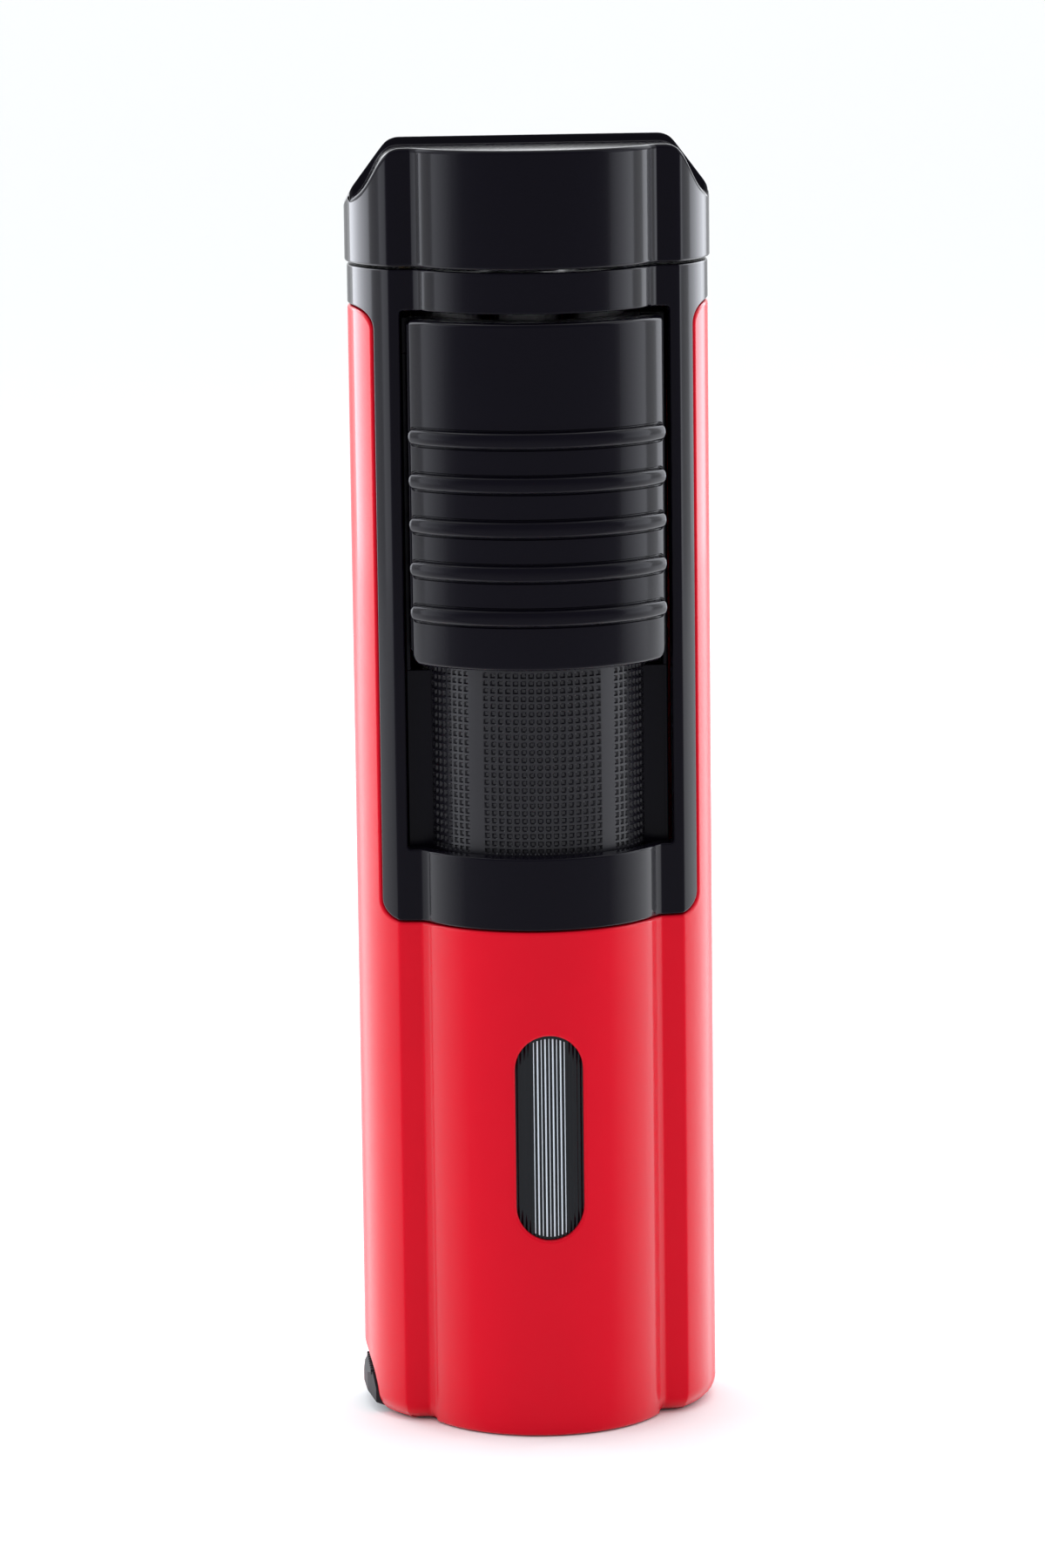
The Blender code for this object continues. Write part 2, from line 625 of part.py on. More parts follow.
def make_burner():
    block = box("burner_block", (-8.7, 8.7), (0.5, 5.9), (70.4, 74.1))
    for index, x in enumerate(NOZZLE_X):
        join(block, rod("block_boss_%d" % (index + 1), 2.3, 73.5, 75.0, (x, BURNER_Y, 0)))
        tube = [(2.3, BURNER_TOP), (2.3, 75.3), (1.8, 75.3), (1.8, BURNER_TOP)]
        finish(turned("burner_tube_%d" % (index + 1), tube, (x, BURNER_Y), 24, ring=True), STEEL)
        jet = [(0, 78.6), (0.35, 78.9), (0.8, 78.9), (0.8, 77.6), (1.4, 77.2), (1.4, 75.3), (0, 75.3)]
        finish(turned("jet_nozzle_%d" % (index + 1), jet, (x, BURNER_Y), 16), BRASS)
    finish(block, ZINC)

    deck = flat("burner_deck", plan(-FRAME_WALL - GAP), 81.0, 81.8)
    cut(deck,
        box("deck_latch_notch", (-2.6, 2.6), (5.9, 14), (80, 83)),
        box("deck_hinge_notch", (-EAR_X[1] - GAP, EAR_X[1] + GAP), (7.85, 14), (79, 84)),
        rod("deck_wire_hole", 0.7, 80, 83, (-8.4, BURNER_Y + 3.2, 0), segments=16))
    for index, x in enumerate(NOZZLE_X):
        cut(deck, rod("deck_hole_%d" % (index + 1), 2.6, 80, 83, (x, BURNER_Y, 0), segments=24))
    finish(deck, STEEL)


def make_gas_valve():
    body = turned("gas_valve_body", [(0, 43.0), (1.35, 43.0), (1.35, 41.5), (2.0, 41.2), (2.0, 37.0),
                                     (1.7, 36.4), (1.7, 35.6), (0, 35.6)], (VALVE_X, VALVE_Y))
    cut(body, rod("valve_bore", 0.85, 37.8, 44, (VALVE_X, VALVE_Y, 0), segments=16))
    finish(body, BRASS)

    stem = turned("gas_valve_stem", [(0, 47.6), (0.6, 47.6), (0.6, 46.3), (1.5, 46.2), (1.5, 45.6),
                                     (0.6, 45.6), (0.6, 38.4), (0, 38.4)], (VALVE_X, VALVE_Y), 16)
    finish(stem, BRASS)

    lever = box("gas_lever", (2.4, 6.0), (-1.0, 5.0), (44.2, 45.3))
    join(lever, rod("lever_boss", 1.0, 2.41, 5.99, (0, LEVER_PIVOT_Y, LEVER_PIVOT_Z), "X", 20))
    cut(lever,
        rod("lever_pin_hole", 0.5, 0, 9, (0, LEVER_PIVOT_Y, LEVER_PIVOT_Z), "X", 16),
        rod("lever_stem_hole", 1.0, 40, 50, (VALVE_X, VALVE_Y, 0), segments=16))
    finish(lever, STEEL)
    finish(rod("gas_lever_pin", 0.4, 0.9, 7.5, (0, LEVER_PIVOT_Y, LEVER_PIVOT_Z), "X", 16), STEEL)

    route = smooth_route([(VALVE_X + 2.35, VALVE_Y, 39.0), (8.2, 3.4, 39.6), (8.9, 3.0, 43.5),
                          (8.6, 3.2, 56.0), (6.6, 3.3, 65.0), (5.2, 3.4, 70.1)])
    finish(wire("gas_hose", route, 0.6), RUBBER)


def make_igniter():
    piezo = box("piezo_body", PIEZO_X, PIEZO_Y, PIEZO_Z)
    cut(piezo, box("piezo_bore", (-8.0, -4.8), (1.8, 4.8), (47.4, 60)))
    finish(piezo, BLACK)

    plunger = box("piezo_plunger", (-7.8, -5.0), (2.0, 4.6), (52.2, 59.0))
    join(plunger, box("plunger_head", (-8.4, -4.4), (1.4, 5.2), (57.8, 59.01)))
    finish(plunger, WHITE)

    route = smooth_route([(-6.4, 6.5, 38.0), (-6.4, 7.2, 42.0), (-6.3, 7.2, 60.0), (-7.2, 6.7, 72.0),
                          (-8.4, BURNER_Y + 3.2, 79.0), (-8.4, BURNER_Y + 3.2, 82.4), (-7.4, 5.6, 83.6)])
    finish(wire("electrode_wire", route, 0.35), BRASS)


# ---------------------------------------------------------------- under the base

def make_punch():
    tab = [(-11.2, 0.35), (-12.1, 0.7), (-12.7, 1.2), (-12.95, 1.8), (-12.8, 2.4), (-12.4, 2.75),
           (-11.8, 2.8), (-11.1, 2.5), (-10.7, 1.85), (PUNCH_PIVOT_X - 1.6, 1.85)]
    knuckle = arc(PUNCH_PIVOT_X, PUNCH_PIVOT_Z, 1.5, 150, -90, 16) + [(PUNCH_PIVOT_X - 1.2, 0.35)]
    arm = flat("punch_arm", tab + knuckle, PUNCH_Y - PUNCH_HALF_WIDTH, PUNCH_Y + PUNCH_HALF_WIDTH, "Y")
    keep_inside(arm, flat("punch_limit", plan(0.13), -3, 9))
    crown = box("tab_crown", (-15, -9.6), (PUNCH_Y - 6, PUNCH_Y + 6), (-3, 6))
    cut(crown, rod("tab_arch", ARCH_RADIUS - 0.4, -16, -9, (0, PUNCH_Y, 0.2), "X", 28))
    cut(arm, crown)
    cut(arm, rod("punch_pin_bore", 0.6, -9, 15, (PUNCH_PIVOT_X, 0, PUNCH_PIVOT_Z), "Y", 16))
    finish(arm, BLACK)

    cutter = [(CUTTER_RADIUS - 0.45, 6.9), (CUTTER_RADIUS, 6.3), (CUTTER_RADIUS, 2.15),
              (CUTTER_RADIUS - 0.5, 2.15), (CUTTER_RADIUS - 0.5, 6.9)]
    finish(turned("punch_cutter", cutter, (CUTTER_X, PUNCH_Y), 28, ring=True), STEEL)
    finish(rod("punch_pin", 0.5, PUNCH_Y - 4.6, PUNCH_Y + 4.6, (PUNCH_PIVOT_X, 0, PUNCH_PIVOT_Z), "Y", 16),
           STEEL)


def make_gas_controls():
    dial = turned("flame_adjuster", [(0, 3.1), (1.8, 3.1), (1.8, 0.5), (1.5, 0.2), (0, 0.2)], ADJUSTER, 28)
    cut(dial, box("adjuster_slot", (ADJUSTER[0] - 1.2, ADJUSTER[0] + 1.2),
                  (ADJUSTER[1] - 0.25, ADJUSTER[1] + 0.25), (-1, 0.9)))
    finish(dial, BRASS)

    valve = [(1.5, 7.1), (1.5, 0.5), (0.75, 0.5), (0.75, 4.5), (0.75, 7.1)]
    finish(turned("refill_valve", valve, REFILL, 20, ring=True), BRASS)
    finish(turned("refill_stem", [(0, 5.5), (0.6, 5.5), (0.6, 0.9), (0.4, 0.7), (0, 0.7)], REFILL, 12), STEEL)


# ---------------------------------------------------------------- joint axes

def on_axis(name, place, *nodes):
    """Parent the pieces of a moving body to an empty on their joint's axis."""
    pivot = bpy.data.objects.new(name, None)
    pivot.location = Vector(place) * MM
    parts.objects.link(pivot)
    bpy.context.view_layer.update()
    for node in nodes:
        piece = bpy.data.objects[node]
        piece.parent = pivot
        piece.matrix_parent_inverse = pivot.matrix_world.inverted()


make_outer_shell()
make_front_frame()
make_channel_panel()
make_window_lens()
make_tank()
make_base()
make_slider()
make_carrier()
make_lid()
make_burner()
make_gas_valve()
make_igniter()
make_punch()
make_gas_controls()

on_axis("slider_axis", (0, SLIDER_CENTRE_Y, SLIDER_BOTTOM), "thumb_slider", "slider_carrier")
on_axis("lid_axis", (0, HINGE_Y, HINGE_Z), "lid_shell", "lid_heat_plate", "lid_hinge_leaf")
on_axis("plunger_axis", (sum(PIEZO_X) / 2, sum(PIEZO_Y) / 2, PIEZO_Z[1]), "piezo_plunger")
on_axis("lever_axis", (VALVE_X, LEVER_PIVOT_Y, LEVER_PIVOT_Z), "gas_lever")
on_axis("stem_axis", (VALVE_X, VALVE_Y, LEVER_PIVOT_Z), "gas_valve_stem")
on_axis("adjuster_axis", (*ADJUSTER, 0), "flame_adjuster")
on_axis("refill_axis", (*REFILL, 0), "refill_stem")
on_axis("punch_axis", (PUNCH_PIVOT_X, PUNCH_Y, PUNCH_PIVOT_Z), "punch_arm", "punch_cutter")
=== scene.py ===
"""Looks of the pocket butane torch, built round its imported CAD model.

The outer mouldings are rebuilt here as fine surfaces with rounded edges, and every other
piece keeps its CAD shape and gets an edge radius and a material. Lengths are millimetres
until they reach a mesh. X runs left to right, Y front to back, Z up.
"""

import json
import math

import bmesh
import bpy
import numpy as np
from mathutils import Euler, Matrix, Vector
from mathutils.geometry import delaunay_2d_cdt

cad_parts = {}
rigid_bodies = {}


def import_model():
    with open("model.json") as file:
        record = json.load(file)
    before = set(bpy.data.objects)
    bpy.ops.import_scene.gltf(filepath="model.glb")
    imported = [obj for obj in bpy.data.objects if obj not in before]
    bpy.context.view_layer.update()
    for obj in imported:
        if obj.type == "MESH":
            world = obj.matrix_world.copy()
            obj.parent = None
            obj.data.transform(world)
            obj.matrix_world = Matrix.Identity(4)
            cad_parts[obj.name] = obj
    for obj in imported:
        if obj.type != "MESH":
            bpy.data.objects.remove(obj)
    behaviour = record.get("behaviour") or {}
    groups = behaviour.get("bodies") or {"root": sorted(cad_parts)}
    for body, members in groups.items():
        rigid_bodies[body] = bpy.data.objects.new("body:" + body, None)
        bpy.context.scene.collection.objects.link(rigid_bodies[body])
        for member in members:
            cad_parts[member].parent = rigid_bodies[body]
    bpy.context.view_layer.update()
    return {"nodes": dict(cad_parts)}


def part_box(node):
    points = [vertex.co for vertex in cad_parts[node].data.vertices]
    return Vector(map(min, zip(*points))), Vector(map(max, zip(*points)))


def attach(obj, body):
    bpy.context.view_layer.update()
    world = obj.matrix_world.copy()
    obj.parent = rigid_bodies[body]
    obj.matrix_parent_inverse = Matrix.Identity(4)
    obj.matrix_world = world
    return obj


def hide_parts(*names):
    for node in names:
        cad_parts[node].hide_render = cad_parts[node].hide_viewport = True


for stale in list(bpy.data.objects):
    bpy.data.objects.remove(stale, do_unlink=True)

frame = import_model()

MM = 0.001
SHARP_ANGLE = 35  # degrees; flatter edges are shaded smooth
SIDES = ((1, "right"), (-1, "left"))


def limits(node):
    """Lowest and highest corner of a CAD node in millimetres."""
    low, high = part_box(node)
    return low / MM, high / MM


# ---- sizes

case_low, case_high = limits("outer_shell")
frame_low, _ = limits("front_frame")
lid_low, lid_high = limits("lid_shell")
slider_low, slider_high = limits("thumb_slider")
panel_low, panel_high = limits("channel_panel")
lens_low, lens_high = limits("window_lens")
punch_low, punch_high = limits("punch_arm")

# Plan of the body
HALF_WIDTH = case_high.x
WIDE_Y = 1.8
FRONT_Y = case_low.y
BACK_Y = case_high.y
BULGE_EDGE = (8.05, -5.1)
STEP_FOOT = (8.5, -4.65)
STRIP_EDGE = (10.1, -4.45)
BACK_POWER = 2.3
CORNER_SOFTNESS = 0.09  # how far the plan's corners are rounded
INNER_SOFTNESS = 1.1  # the same on the inside of a wall
INNER_BLEND = 1.6  # width over which a wall's inside turns from straight to square
OUTLINE_SPACING = 0.04
STATION_TURN = 4.0  # degrees that the outline may turn between two stations
STATION_LONGEST = 0.8
EDGE_STEPS = 5  # strips across a rounded edge

# Case
SHELL_TOP = case_high.z
SHELL_WALL = 1.5
BASE_FILLET = 1.5
FRONT_FILLET_SHARE = 0.16  # the bowed front's lower edge is nearly square
OPENING_HALF_WIDTH = 11.3
OPENING_BOTTOM = frame_low.z - 0.3
OPENING_CORNER = 1.4
SHOULDER = 1.5
FOOT_MARGIN = 0.05  # stations keep this far from an edge's corners
SHOULDER_MARGIN = 0.3
NOTCH_MARGIN = 0.1
WINDOW_HALF_WIDTH = 2.45
WINDOW_BOTTOM = 14.2
WINDOW_TOP = 28.9
ARCH_HALF_WIDTH = 3.7
ARCH_HEIGHT = 4.15
ARCH_Z = 0.2
CASE_EDGE = 0.22
SHADE_PAINT_DEPTH = 0.9  # deeper than this behind the channel, the case's inner face is painted black: painted shade in the recess, and a stand-in for the frame's black channel walls
SHADE_PAINT_DROP = 2.0  # how far below the lip that starts

# Front frame
SEAM = 0.1
FRAME_WALL = 1.3
COLLAR_TOP = lid_low.z - 0.18
CHANNEL_HALF_WIDTH = 9.4
CHANNEL_CORNER = 0.25
LIP_TOP = 41.5
FRAME_EDGE = 0.15
EAR_WIDTH = 3.0  # hinge knuckles at the rear
EAR_GAP = 0.1
EAR_EDGE = 0.12
EAR_FOOT_Y = (-0.9, 0.25)  # from the hinge's axis
EAR_FOOT_SINK = 0.5
EAR_FOOT_INSET = 0.05

# Lid
LID_OVERHANG = lid_high.x - HALF_WIDTH
LID_BOTTOM = lid_low.z
LID_TOP = lid_high.z
LID_FRONT_TOP = 90.62
LID_RISER_Y = -0.5
LID_EDGE = 0.3
LID_RIM_EDGE = 0.18
LID_WALL = 1.2
LID_WALL_ROWS = (84.0, 85.5)
LID_REACH = (14, 12)  # beyond the lid's outline
LID_ROOF = 0.9
CEILING_TOP = 89.2
CEILING_TUCK = 0.9  # the ceiling is this much smaller than the top
RISER_DEPTH = 0.24
REAR_BEND = 5.2  # radius of the lid's rounded rear
REAR_SLOPE = 0.4
SHOULDER_X = 8.6
SHOULDER_WIDTH = 1.6
SHOULDER_FALL = 0.2  # how fast the lid's shoulders drop towards the rear
CREASE_DIP = 0.12  # softens the line where shoulder and rear meet
CREASE_WIDTH = 0.35
NOTCH_X = 6.5  # cut-out at the back for the hinge
NOTCH_TOP = 85.3

# Thumb slider
SLIDER_RADIUS = 10.5
SLIDER_CENTRE_Y = 0.6
SLIDER_THICKNESS = 1.3
SLIDER_HALF_WIDTH = 8.95
SLIDER_BOTTOM = slider_low.z
SLIDER_TOP = slider_high.z
SLIDER_FOOT_CORNER = 0.9
SLIDER_TOP_CORNER = 0.3
SLIDER_EDGE = 0.32
RIB_BOTTOM = 58.4
RIB_PITCH = 3.08
RIB_COUNT = 5
RIB_RADIUS = 0.55
RIB_PROUD = 0.35
RIB_POWER = 2.6  # 2 is a round bar, more is flatter on top
RIB_GROOVE = 0.17
RIB_GROOVE_DEPTH = 0.2
RIB_MARGIN = 0.16  # from a rib's end to the plate's side
SKIRT_X = 8.4  # inner face of the plate's turned-back sides
SKIRT_INSET = 0.02
SKIRT_FRONT_Y = -4.75
SKIRT_BACK_Y = -3.05
LEG_X = (7.8, 8.7)
LEG_FRONT_Y = -3.6
LEG_BOTTOM = 66.5
LEG_TOP = 76.0

# Finger tab of the punch
TAB_RIB_COUNT = 9
TAB_RIB_PITCH = 0.6
TAB_RIB_BOTTOM = 2.5
TAB_RIB_TOP = 2.95
TAB_RIB_X = (0.35, 1.5)  # from the tab's end

# Sight window
WINDOW_GAP = 0.03
LENS_HALF_WIDTH = WINDOW_HALF_WIDTH - WINDOW_GAP
WINDOW_RECESS = 0.4
WINDOW_BOW = 9.15
FLUTE_PITCH = 0.27
FLUTE_DEPTH = 0.06
FLUTE_STEPS = 6
# Painted highlights on the lens: light strips along the middle flute crests stand in for reflected light.
CREST_COUNT = 4  # crests each side of the middle one
CREST_STEPS = 6
WIDE_CREST = 0.2  # half width over the flutes' pitch
NARROW_CREST = 0.11
CREST_RISE = 0.6  # height over half width
CREST_ENDS = (0.015, 0.985)  # shares of the window's height

# Panel behind the slider
PANEL_RADIUS = 8.0
PANEL_CENTRE_Y = -0.1
PANEL_THICKNESS = 1.2
PANEL_HALF_ANGLE = 68
PANEL_FOOT = 0.3
PIT_PITCH = 0.54
PIT_DEPTH = 0.13
PIT_CUTS = (0.14, 0.30, 0.70, 0.86)  # one cell: ridge, sloped wall, pit floor, sloped wall
PITS_BELOW_LIP = 0.6
PITS_BELOW_TOP = 0.8
GRID_OUTER_X = 7.5
WING_INNER_X = 7.1
SLOT_X = (7.65, 8.9)  # slots in the wings for the slider's legs
SLOT_BOTTOM = 54.0
SLOT_TOP = 76.3
WING_Y = (-2.9, -2.1)
MIDDLE_GRID_X = 4.19
SIDE_GRID_X = 5.06


# ---- outlines

def arc(centre, radius, start, end, steps):
    """Points along a circular arc, angles in degrees."""
    angles = np.radians(np.linspace(start, end, steps + 1))
    return np.column_stack((centre[0] + radius * np.cos(angles), centre[1] + radius * np.sin(angles)))


def right_half():
    """Right half of the body's outline, from the front centre to the back centre."""
    edge_x, edge_y = BULGE_EDGE
    sagitta = edge_y - FRONT_Y
    bow = (edge_x ** 2 + sagitta ** 2) / (2 * sagitta)
    sweep = math.degrees(math.asin(edge_x / bow))
    front = arc((0, FRONT_Y + bow), bow, -90, sweep - 90, 60)
    across = HALF_WIDTH - STRIP_EDGE[0]
    deep = WIDE_Y - STRIP_EDGE[1]
    flank = (across ** 2 + deep ** 2) / (2 * across)
    sweep = math.degrees(math.asin(deep / flank))
    side = arc((HALF_WIDTH - flank, WIDE_Y), flank, -sweep, 0, 40)
    angles = np.radians(np.linspace(0, 90, 181)[1:])
    power = 2 / BACK_POWER
    back = np.column_stack((HALF_WIDTH * np.clip(np.cos(angles), 0, 1) ** power,
                            WIDE_Y + (BACK_Y - WIDE_Y) * np.sin(angles) ** power))
    back[-1, 0] = 0
    return np.vstack((front, [STEP_FOOT], side, back))


class Outline:
    """Closed outline measured by arc length u, which is 0 at the front centre and grows to the right."""

    def __init__(self, softness, grow=0.0):
        half = right_half()
        loop = np.vstack((half[::-1] * (-1, 1), half[1:]))
        length = np.concatenate(([0], np.cumsum(np.linalg.norm(np.diff(loop, axis=0), axis=1))))
        count = int(length[-1] / OUTLINE_SPACING)
        even = np.arange(count) * length[-1] / count
        points = np.column_stack([np.interp(even, length, loop[:, axis]) for axis in (0, 1)])
        wave = np.fft.fftfreq(count, length[-1] / count) * 2 * math.pi
        fade = np.exp(-(wave * softness) ** 2 / 2)[:, None]
        points = np.real(np.fft.ifft(np.fft.fft(points, axis=0) * fade, axis=0))
        tangent = np.roll(points, -1, axis=0) - np.roll(points, 1, axis=0)
        tangent /= np.linalg.norm(tangent, axis=1)[:, None]
        normal = np.column_stack((tangent[:, 1], -tangent[:, 0]))
        points = points + normal * grow
        self.points = np.vstack((points, points[:1]))
        self.normals = np.vstack((normal, normal[:1]))
        steps = np.linalg.norm(np.diff(self.points, axis=0), axis=1)
        self.u = np.concatenate(([0], np.cumsum(steps)))
        self.end = self.u[-1] / 2
        self.u -= self.end

    def at(self, u):
        """Points of the outline and their outward directions."""
        place = np.column_stack([np.interp(u, self.u, self.points[:, axis]) for axis in (0, 1)])
        outward = np.column_stack([np.interp(u, self.u, self.normals[:, axis]) for axis in (0, 1)])
        return place, outward / np.linalg.norm(outward, axis=1)[:, None]

    def u_at_x(self, x):
        """Where the front of the outline reaches x."""
        front = (self.u >= 0) & (self.points[:, 1] < WIDE_Y)
        return math.copysign(float(np.interp(abs(x), self.points[front, 0], self.u[front])), x)

    def nearest(self, x, y):
        """Where the outline passes closest to a point."""
        return float(self.u[np.argmin(np.hypot(self.points[:, 0] - x, self.points[:, 1] - y))])

    def u_at_side(self, y):
        """Where the left side of the outline passes y, near its widest."""
        left = (self.points[:, 0] < -9) & (self.points[:, 1] > -4)
        order = np.argsort(self.points[left, 1])
        return float(np.interp(y, self.points[left, 1][order], self.u[left][order]))

    def stations(self):
        """Values of u close enough together to draw the outline smoothly, symmetric about the front."""
        chosen = [0.0]
        start = len(self.u) // 2
        heading = self.normals[start]
        for index in range(start, len(self.u)):
            angle = math.degrees(math.acos(min(1, float(heading @ self.normals[index]))))
            if angle >= STATION_TURN or self.u[index] - chosen[-1] >= STATION_LONGEST:
                chosen.append(float(self.u[index]))
                heading = self.normals[index]
        if self.end - chosen[-1] < STATION_LONGEST / 3:
            chosen.pop()
        chosen.append(self.end)
        return [-u for u in chosen[:0:-1]] + chosen


# ---- meshes

def add_object(name, data):
    """New object, linked to the scene."""
    made = bpy.data.objects.new(name, data)
    bpy.context.scene.collection.objects.link(made)
    return made


def make_object(name, verts, faces, corner_normals=None):
    """Object from millimetre points; corner_normals holds one direction for each face corner."""
    mesh = bpy.data.meshes.new(name)
    mesh.from_pydata([tuple(v) for v in np.asarray(verts) * MM], [], [tuple(f) for f in faces])
    mesh.polygons.foreach_set("use_smooth", [True] * len(mesh.polygons))
    if corner_normals is not None:
        mesh.normals_split_custom_set([tuple(n) for n in corner_normals])
    return add_object(name, mesh)


def side_step(line, closed, distance):
    """The line moved to its left, with mitred corners."""
    line = np.asarray(line, float)
    along = np.diff(np.vstack((line, line[:1])) if closed else line, axis=0)
    along /= np.linalg.norm(along, axis=1)[:, None]
    left = np.column_stack((-along[:, 1], along[:, 0]))
    if closed:
        before, after = np.roll(left, 1, axis=0), left
    else:
        before, after = np.vstack((left[:1], left)), np.vstack((left, left[-1:]))
    middle = before + after
    middle /= np.linalg.norm(middle, axis=1)[:, None]
    return line + middle * (distance / np.clip((middle * after).sum(1), 0.5, 1))[:, None], middle


def edge_distance(points, edges):
    """Distance of each point to the nearest edge line, and the direction towards that edge."""
    best = np.full(len(points), 1e9)
    towards = np.zeros((len(points), 2))
    for line, closed in edges:
        line = np.asarray(line, float)
        normals = side_step(line, closed, 0)[1]
        if closed:
            line, normals = np.vstack((line, line[:1])), np.vstack((normals, normals[:1]))
        for start, end, first, last in zip(line[:-1], line[1:], normals[:-1], normals[1:]):
            span = end - start
            share = np.clip((points - start) @ span / (span @ span), 0, 1)
            gap = np.linalg.norm(points - start - share[:, None] * span, axis=1)
            nearer = gap < best
            best[nearer] = gap[nearer]
            towards[nearer] = -(first + share[nearer, None] * (last - first))
    return best, towards / np.maximum(np.linalg.norm(towards, axis=1), 1e-9)[:, None]


def inside(points, loops):
    """Which points lie inside an odd number of the loops."""
    odd = np.zeros(len(points), bool)
    for loop in loops:
        loop = np.asarray(loop, float)
        for (u1, v1), (u2, v2) in zip(loop, np.roll(loop, -1, axis=0)):
            if v1 == v2:
                continue
            crosses = (points[:, 1] < v1) != (points[:, 1] < v2)
            odd ^= crosses & (points[:, 0] < u1 + (points[:, 1] - v1) * (u2 - u1) / (v2 - v1))
    return odd


def triangulate(loops, lines):
    """Triangles that fill the loops and keep every line as an edge."""
    points = []
    edges = []
    for line, closed in lines:
        first = len(points)
        points += [Vector((float(u), float(v))) for u, v in line]
        edges += [(index, index + 1) for index in range(first, len(points) - 1)]
        if closed:
            edges.append((len(points) - 1, first))
    verts, _, faces = delaunay_2d_cdt(points, edges, [], 0, 0.0001)[:3]
    verts = np.array([tuple(v) for v in verts])
    faces = np.array(faces)
    corners = verts[faces]
    first, second = corners[:, 1] - corners[:, 0], corners[:, 2] - corners[:, 0]
    area = first[:, 0] * second[:, 1] - first[:, 1] * second[:, 0]
    faces[area < 0] = faces[area < 0][:, ::-1]
    return verts, faces[(np.abs(area) > 1e-9) & inside(corners.mean(1), loops)]


def nothing(u, v):
    """No relief."""
    return np.zeros(len(u))


def sheet(name, loops, edges, lift, back, radius, lines=(), relief=nothing, seam=None):
    """Closed sheet solid over a flat layout (u, v), with a rounded edge along every line in edges.

    lift(u, v, height) gives points on the outer face, back(u, v) on the inner one. Edges run with
    the sheet on their left. Where seam is set, the layout wraps round from -seam to +seam.
    """
    drawn = list(edges)
    for step in range(1, EDGE_STEPS + 1):
        turn = math.pi / 2 * step / EDGE_STEPS
        distance = radius * (1 - math.cos(turn))
        drawn += [(side_step(line, closed, distance)[0], closed) for line, closed in edges]
    flat, faces = triangulate(loops, drawn + list(lines))
    if seam is not None:
        snap = 0.002
        flat[np.abs(flat[:, 0] - seam) < snap, 0] = seam
        flat[np.abs(flat[:, 0] + seam) < snap, 0] = -seam
        left = {round(float(v), 3): index for index, (u, v) in enumerate(flat) if u == -seam}
        merge = np.arange(len(flat))
        for index in np.nonzero(flat[:, 0] == seam)[0]:
            height = round(float(flat[index, 1]), 3)
            near = [left[key] for key in (height, round(height - 0.001, 3), round(height + 0.001, 3))
                    if key in left]
            merge[index] = near[0]
        faces = merge[faces]
    used, faces = np.unique(faces, return_inverse=True)
    faces = faces.reshape(-1, 3)
    flat = flat[used]
    u, v = flat[:, 0], flat[:, 1]
    distance, towards = edge_distance(flat, edges)
    share = np.clip(1 - distance / radius, 0, 1)
    rise = relief(u, v)
    front = lift(u, v, rise - radius * (1 - np.sqrt(1 - share ** 2)))
    tiny = 0.004
    along_u = lift(u + tiny, v, relief(u + tiny, v)) - lift(u - tiny, v, relief(u - tiny, v))
    along_v = lift(u, v + tiny, relief(u, v + tiny)) - lift(u, v - tiny, relief(u, v - tiny))
    along_u /= np.linalg.norm(along_u, axis=1)[:, None]
    along_v /= np.linalg.norm(along_v, axis=1)[:, None]
    face_normal = np.cross(along_u, along_v)
    face_normal /= np.linalg.norm(face_normal, axis=1)[:, None]
    rim = towards[:, :1] * along_u + towards[:, 1:] * along_v
    normal = face_normal * np.sqrt(1 - share ** 2)[:, None] + rim * share[:, None]
    behind = back(u, v)
    count = len(flat)
    verts = np.vstack((front, behind))
    sides = dict.fromkeys(pair for a, b, c in faces for pair in ((a, b), (b, c), (c, a)))
    border = [pair for pair in sides if (pair[1], pair[0]) not in sides]
    all_faces = [tuple(f) for f in faces] + [tuple(f[::-1] + count) for f in faces]
    corner_normals = [normal[i] for f in faces for i in f]
    corner_normals += [-face_normal[i] for f in faces for i in f[::-1]]
    for a, b in border:
        all_faces.append((b, a, a + count, b + count))
        corner_normals += [rim[b], rim[a], rim[a], rim[b]]
    return make_object(name, verts, all_faces, corner_normals)


def above_outline(outline):
    """Function for points at a height above an outline's upright surface."""
    def lift(u, z, height):
        place, outward = outline.at(u)
        return np.column_stack((place + outward * height[:, None], z))
    return lift


def above_cylinder(radius, centre_y):
    """Function for points at a height above the front of an upright cylinder."""
    def lift(u, z, height):
        angle = u / radius
        reach = radius + height
        return np.column_stack((reach * np.sin(angle), centre_y - reach * np.cos(angle), z))
    return lift


def uprights(stations, low, high):
    """Lines across a layout at each station."""
    return [([(u, low), (u, high)], False) for u in stations]


def levels(heights, end):
    """Lines along a layout at each height."""
    return [([(-end, v), (end, v)], False) for v in heights]


def grid_solid(name, us, vs, front, back):
    """Closed solid between two structured faces; front(u, v) and back(u, v) give points."""
    u, v = np.meshgrid(us, vs)
    shape = u.shape
    outer = front(u.ravel(), v.ravel())
    inner = back(u.ravel(), v.ravel())
    index = np.arange(u.size).reshape(shape)
    count = u.size
    faces = []
    for row in range(shape[0] - 1):
        for column in range(shape[1] - 1):
            quad = (index[row, column], index[row, column + 1],
                    index[row + 1, column + 1], index[row + 1, column])
            faces.append(quad)
            faces.append(tuple(i + count for i in reversed(quad)))
    ring = list(index[0]) + list(index[1:, -1]) + list(index[-1, -2::-1]) + list(index[-2:0:-1, 0])
    for a, b in zip(ring, ring[1:] + ring[:1]):
        faces.append((b, a, a + count, b + count))
    return make_object(name, np.vstack((outer, inner)), faces)


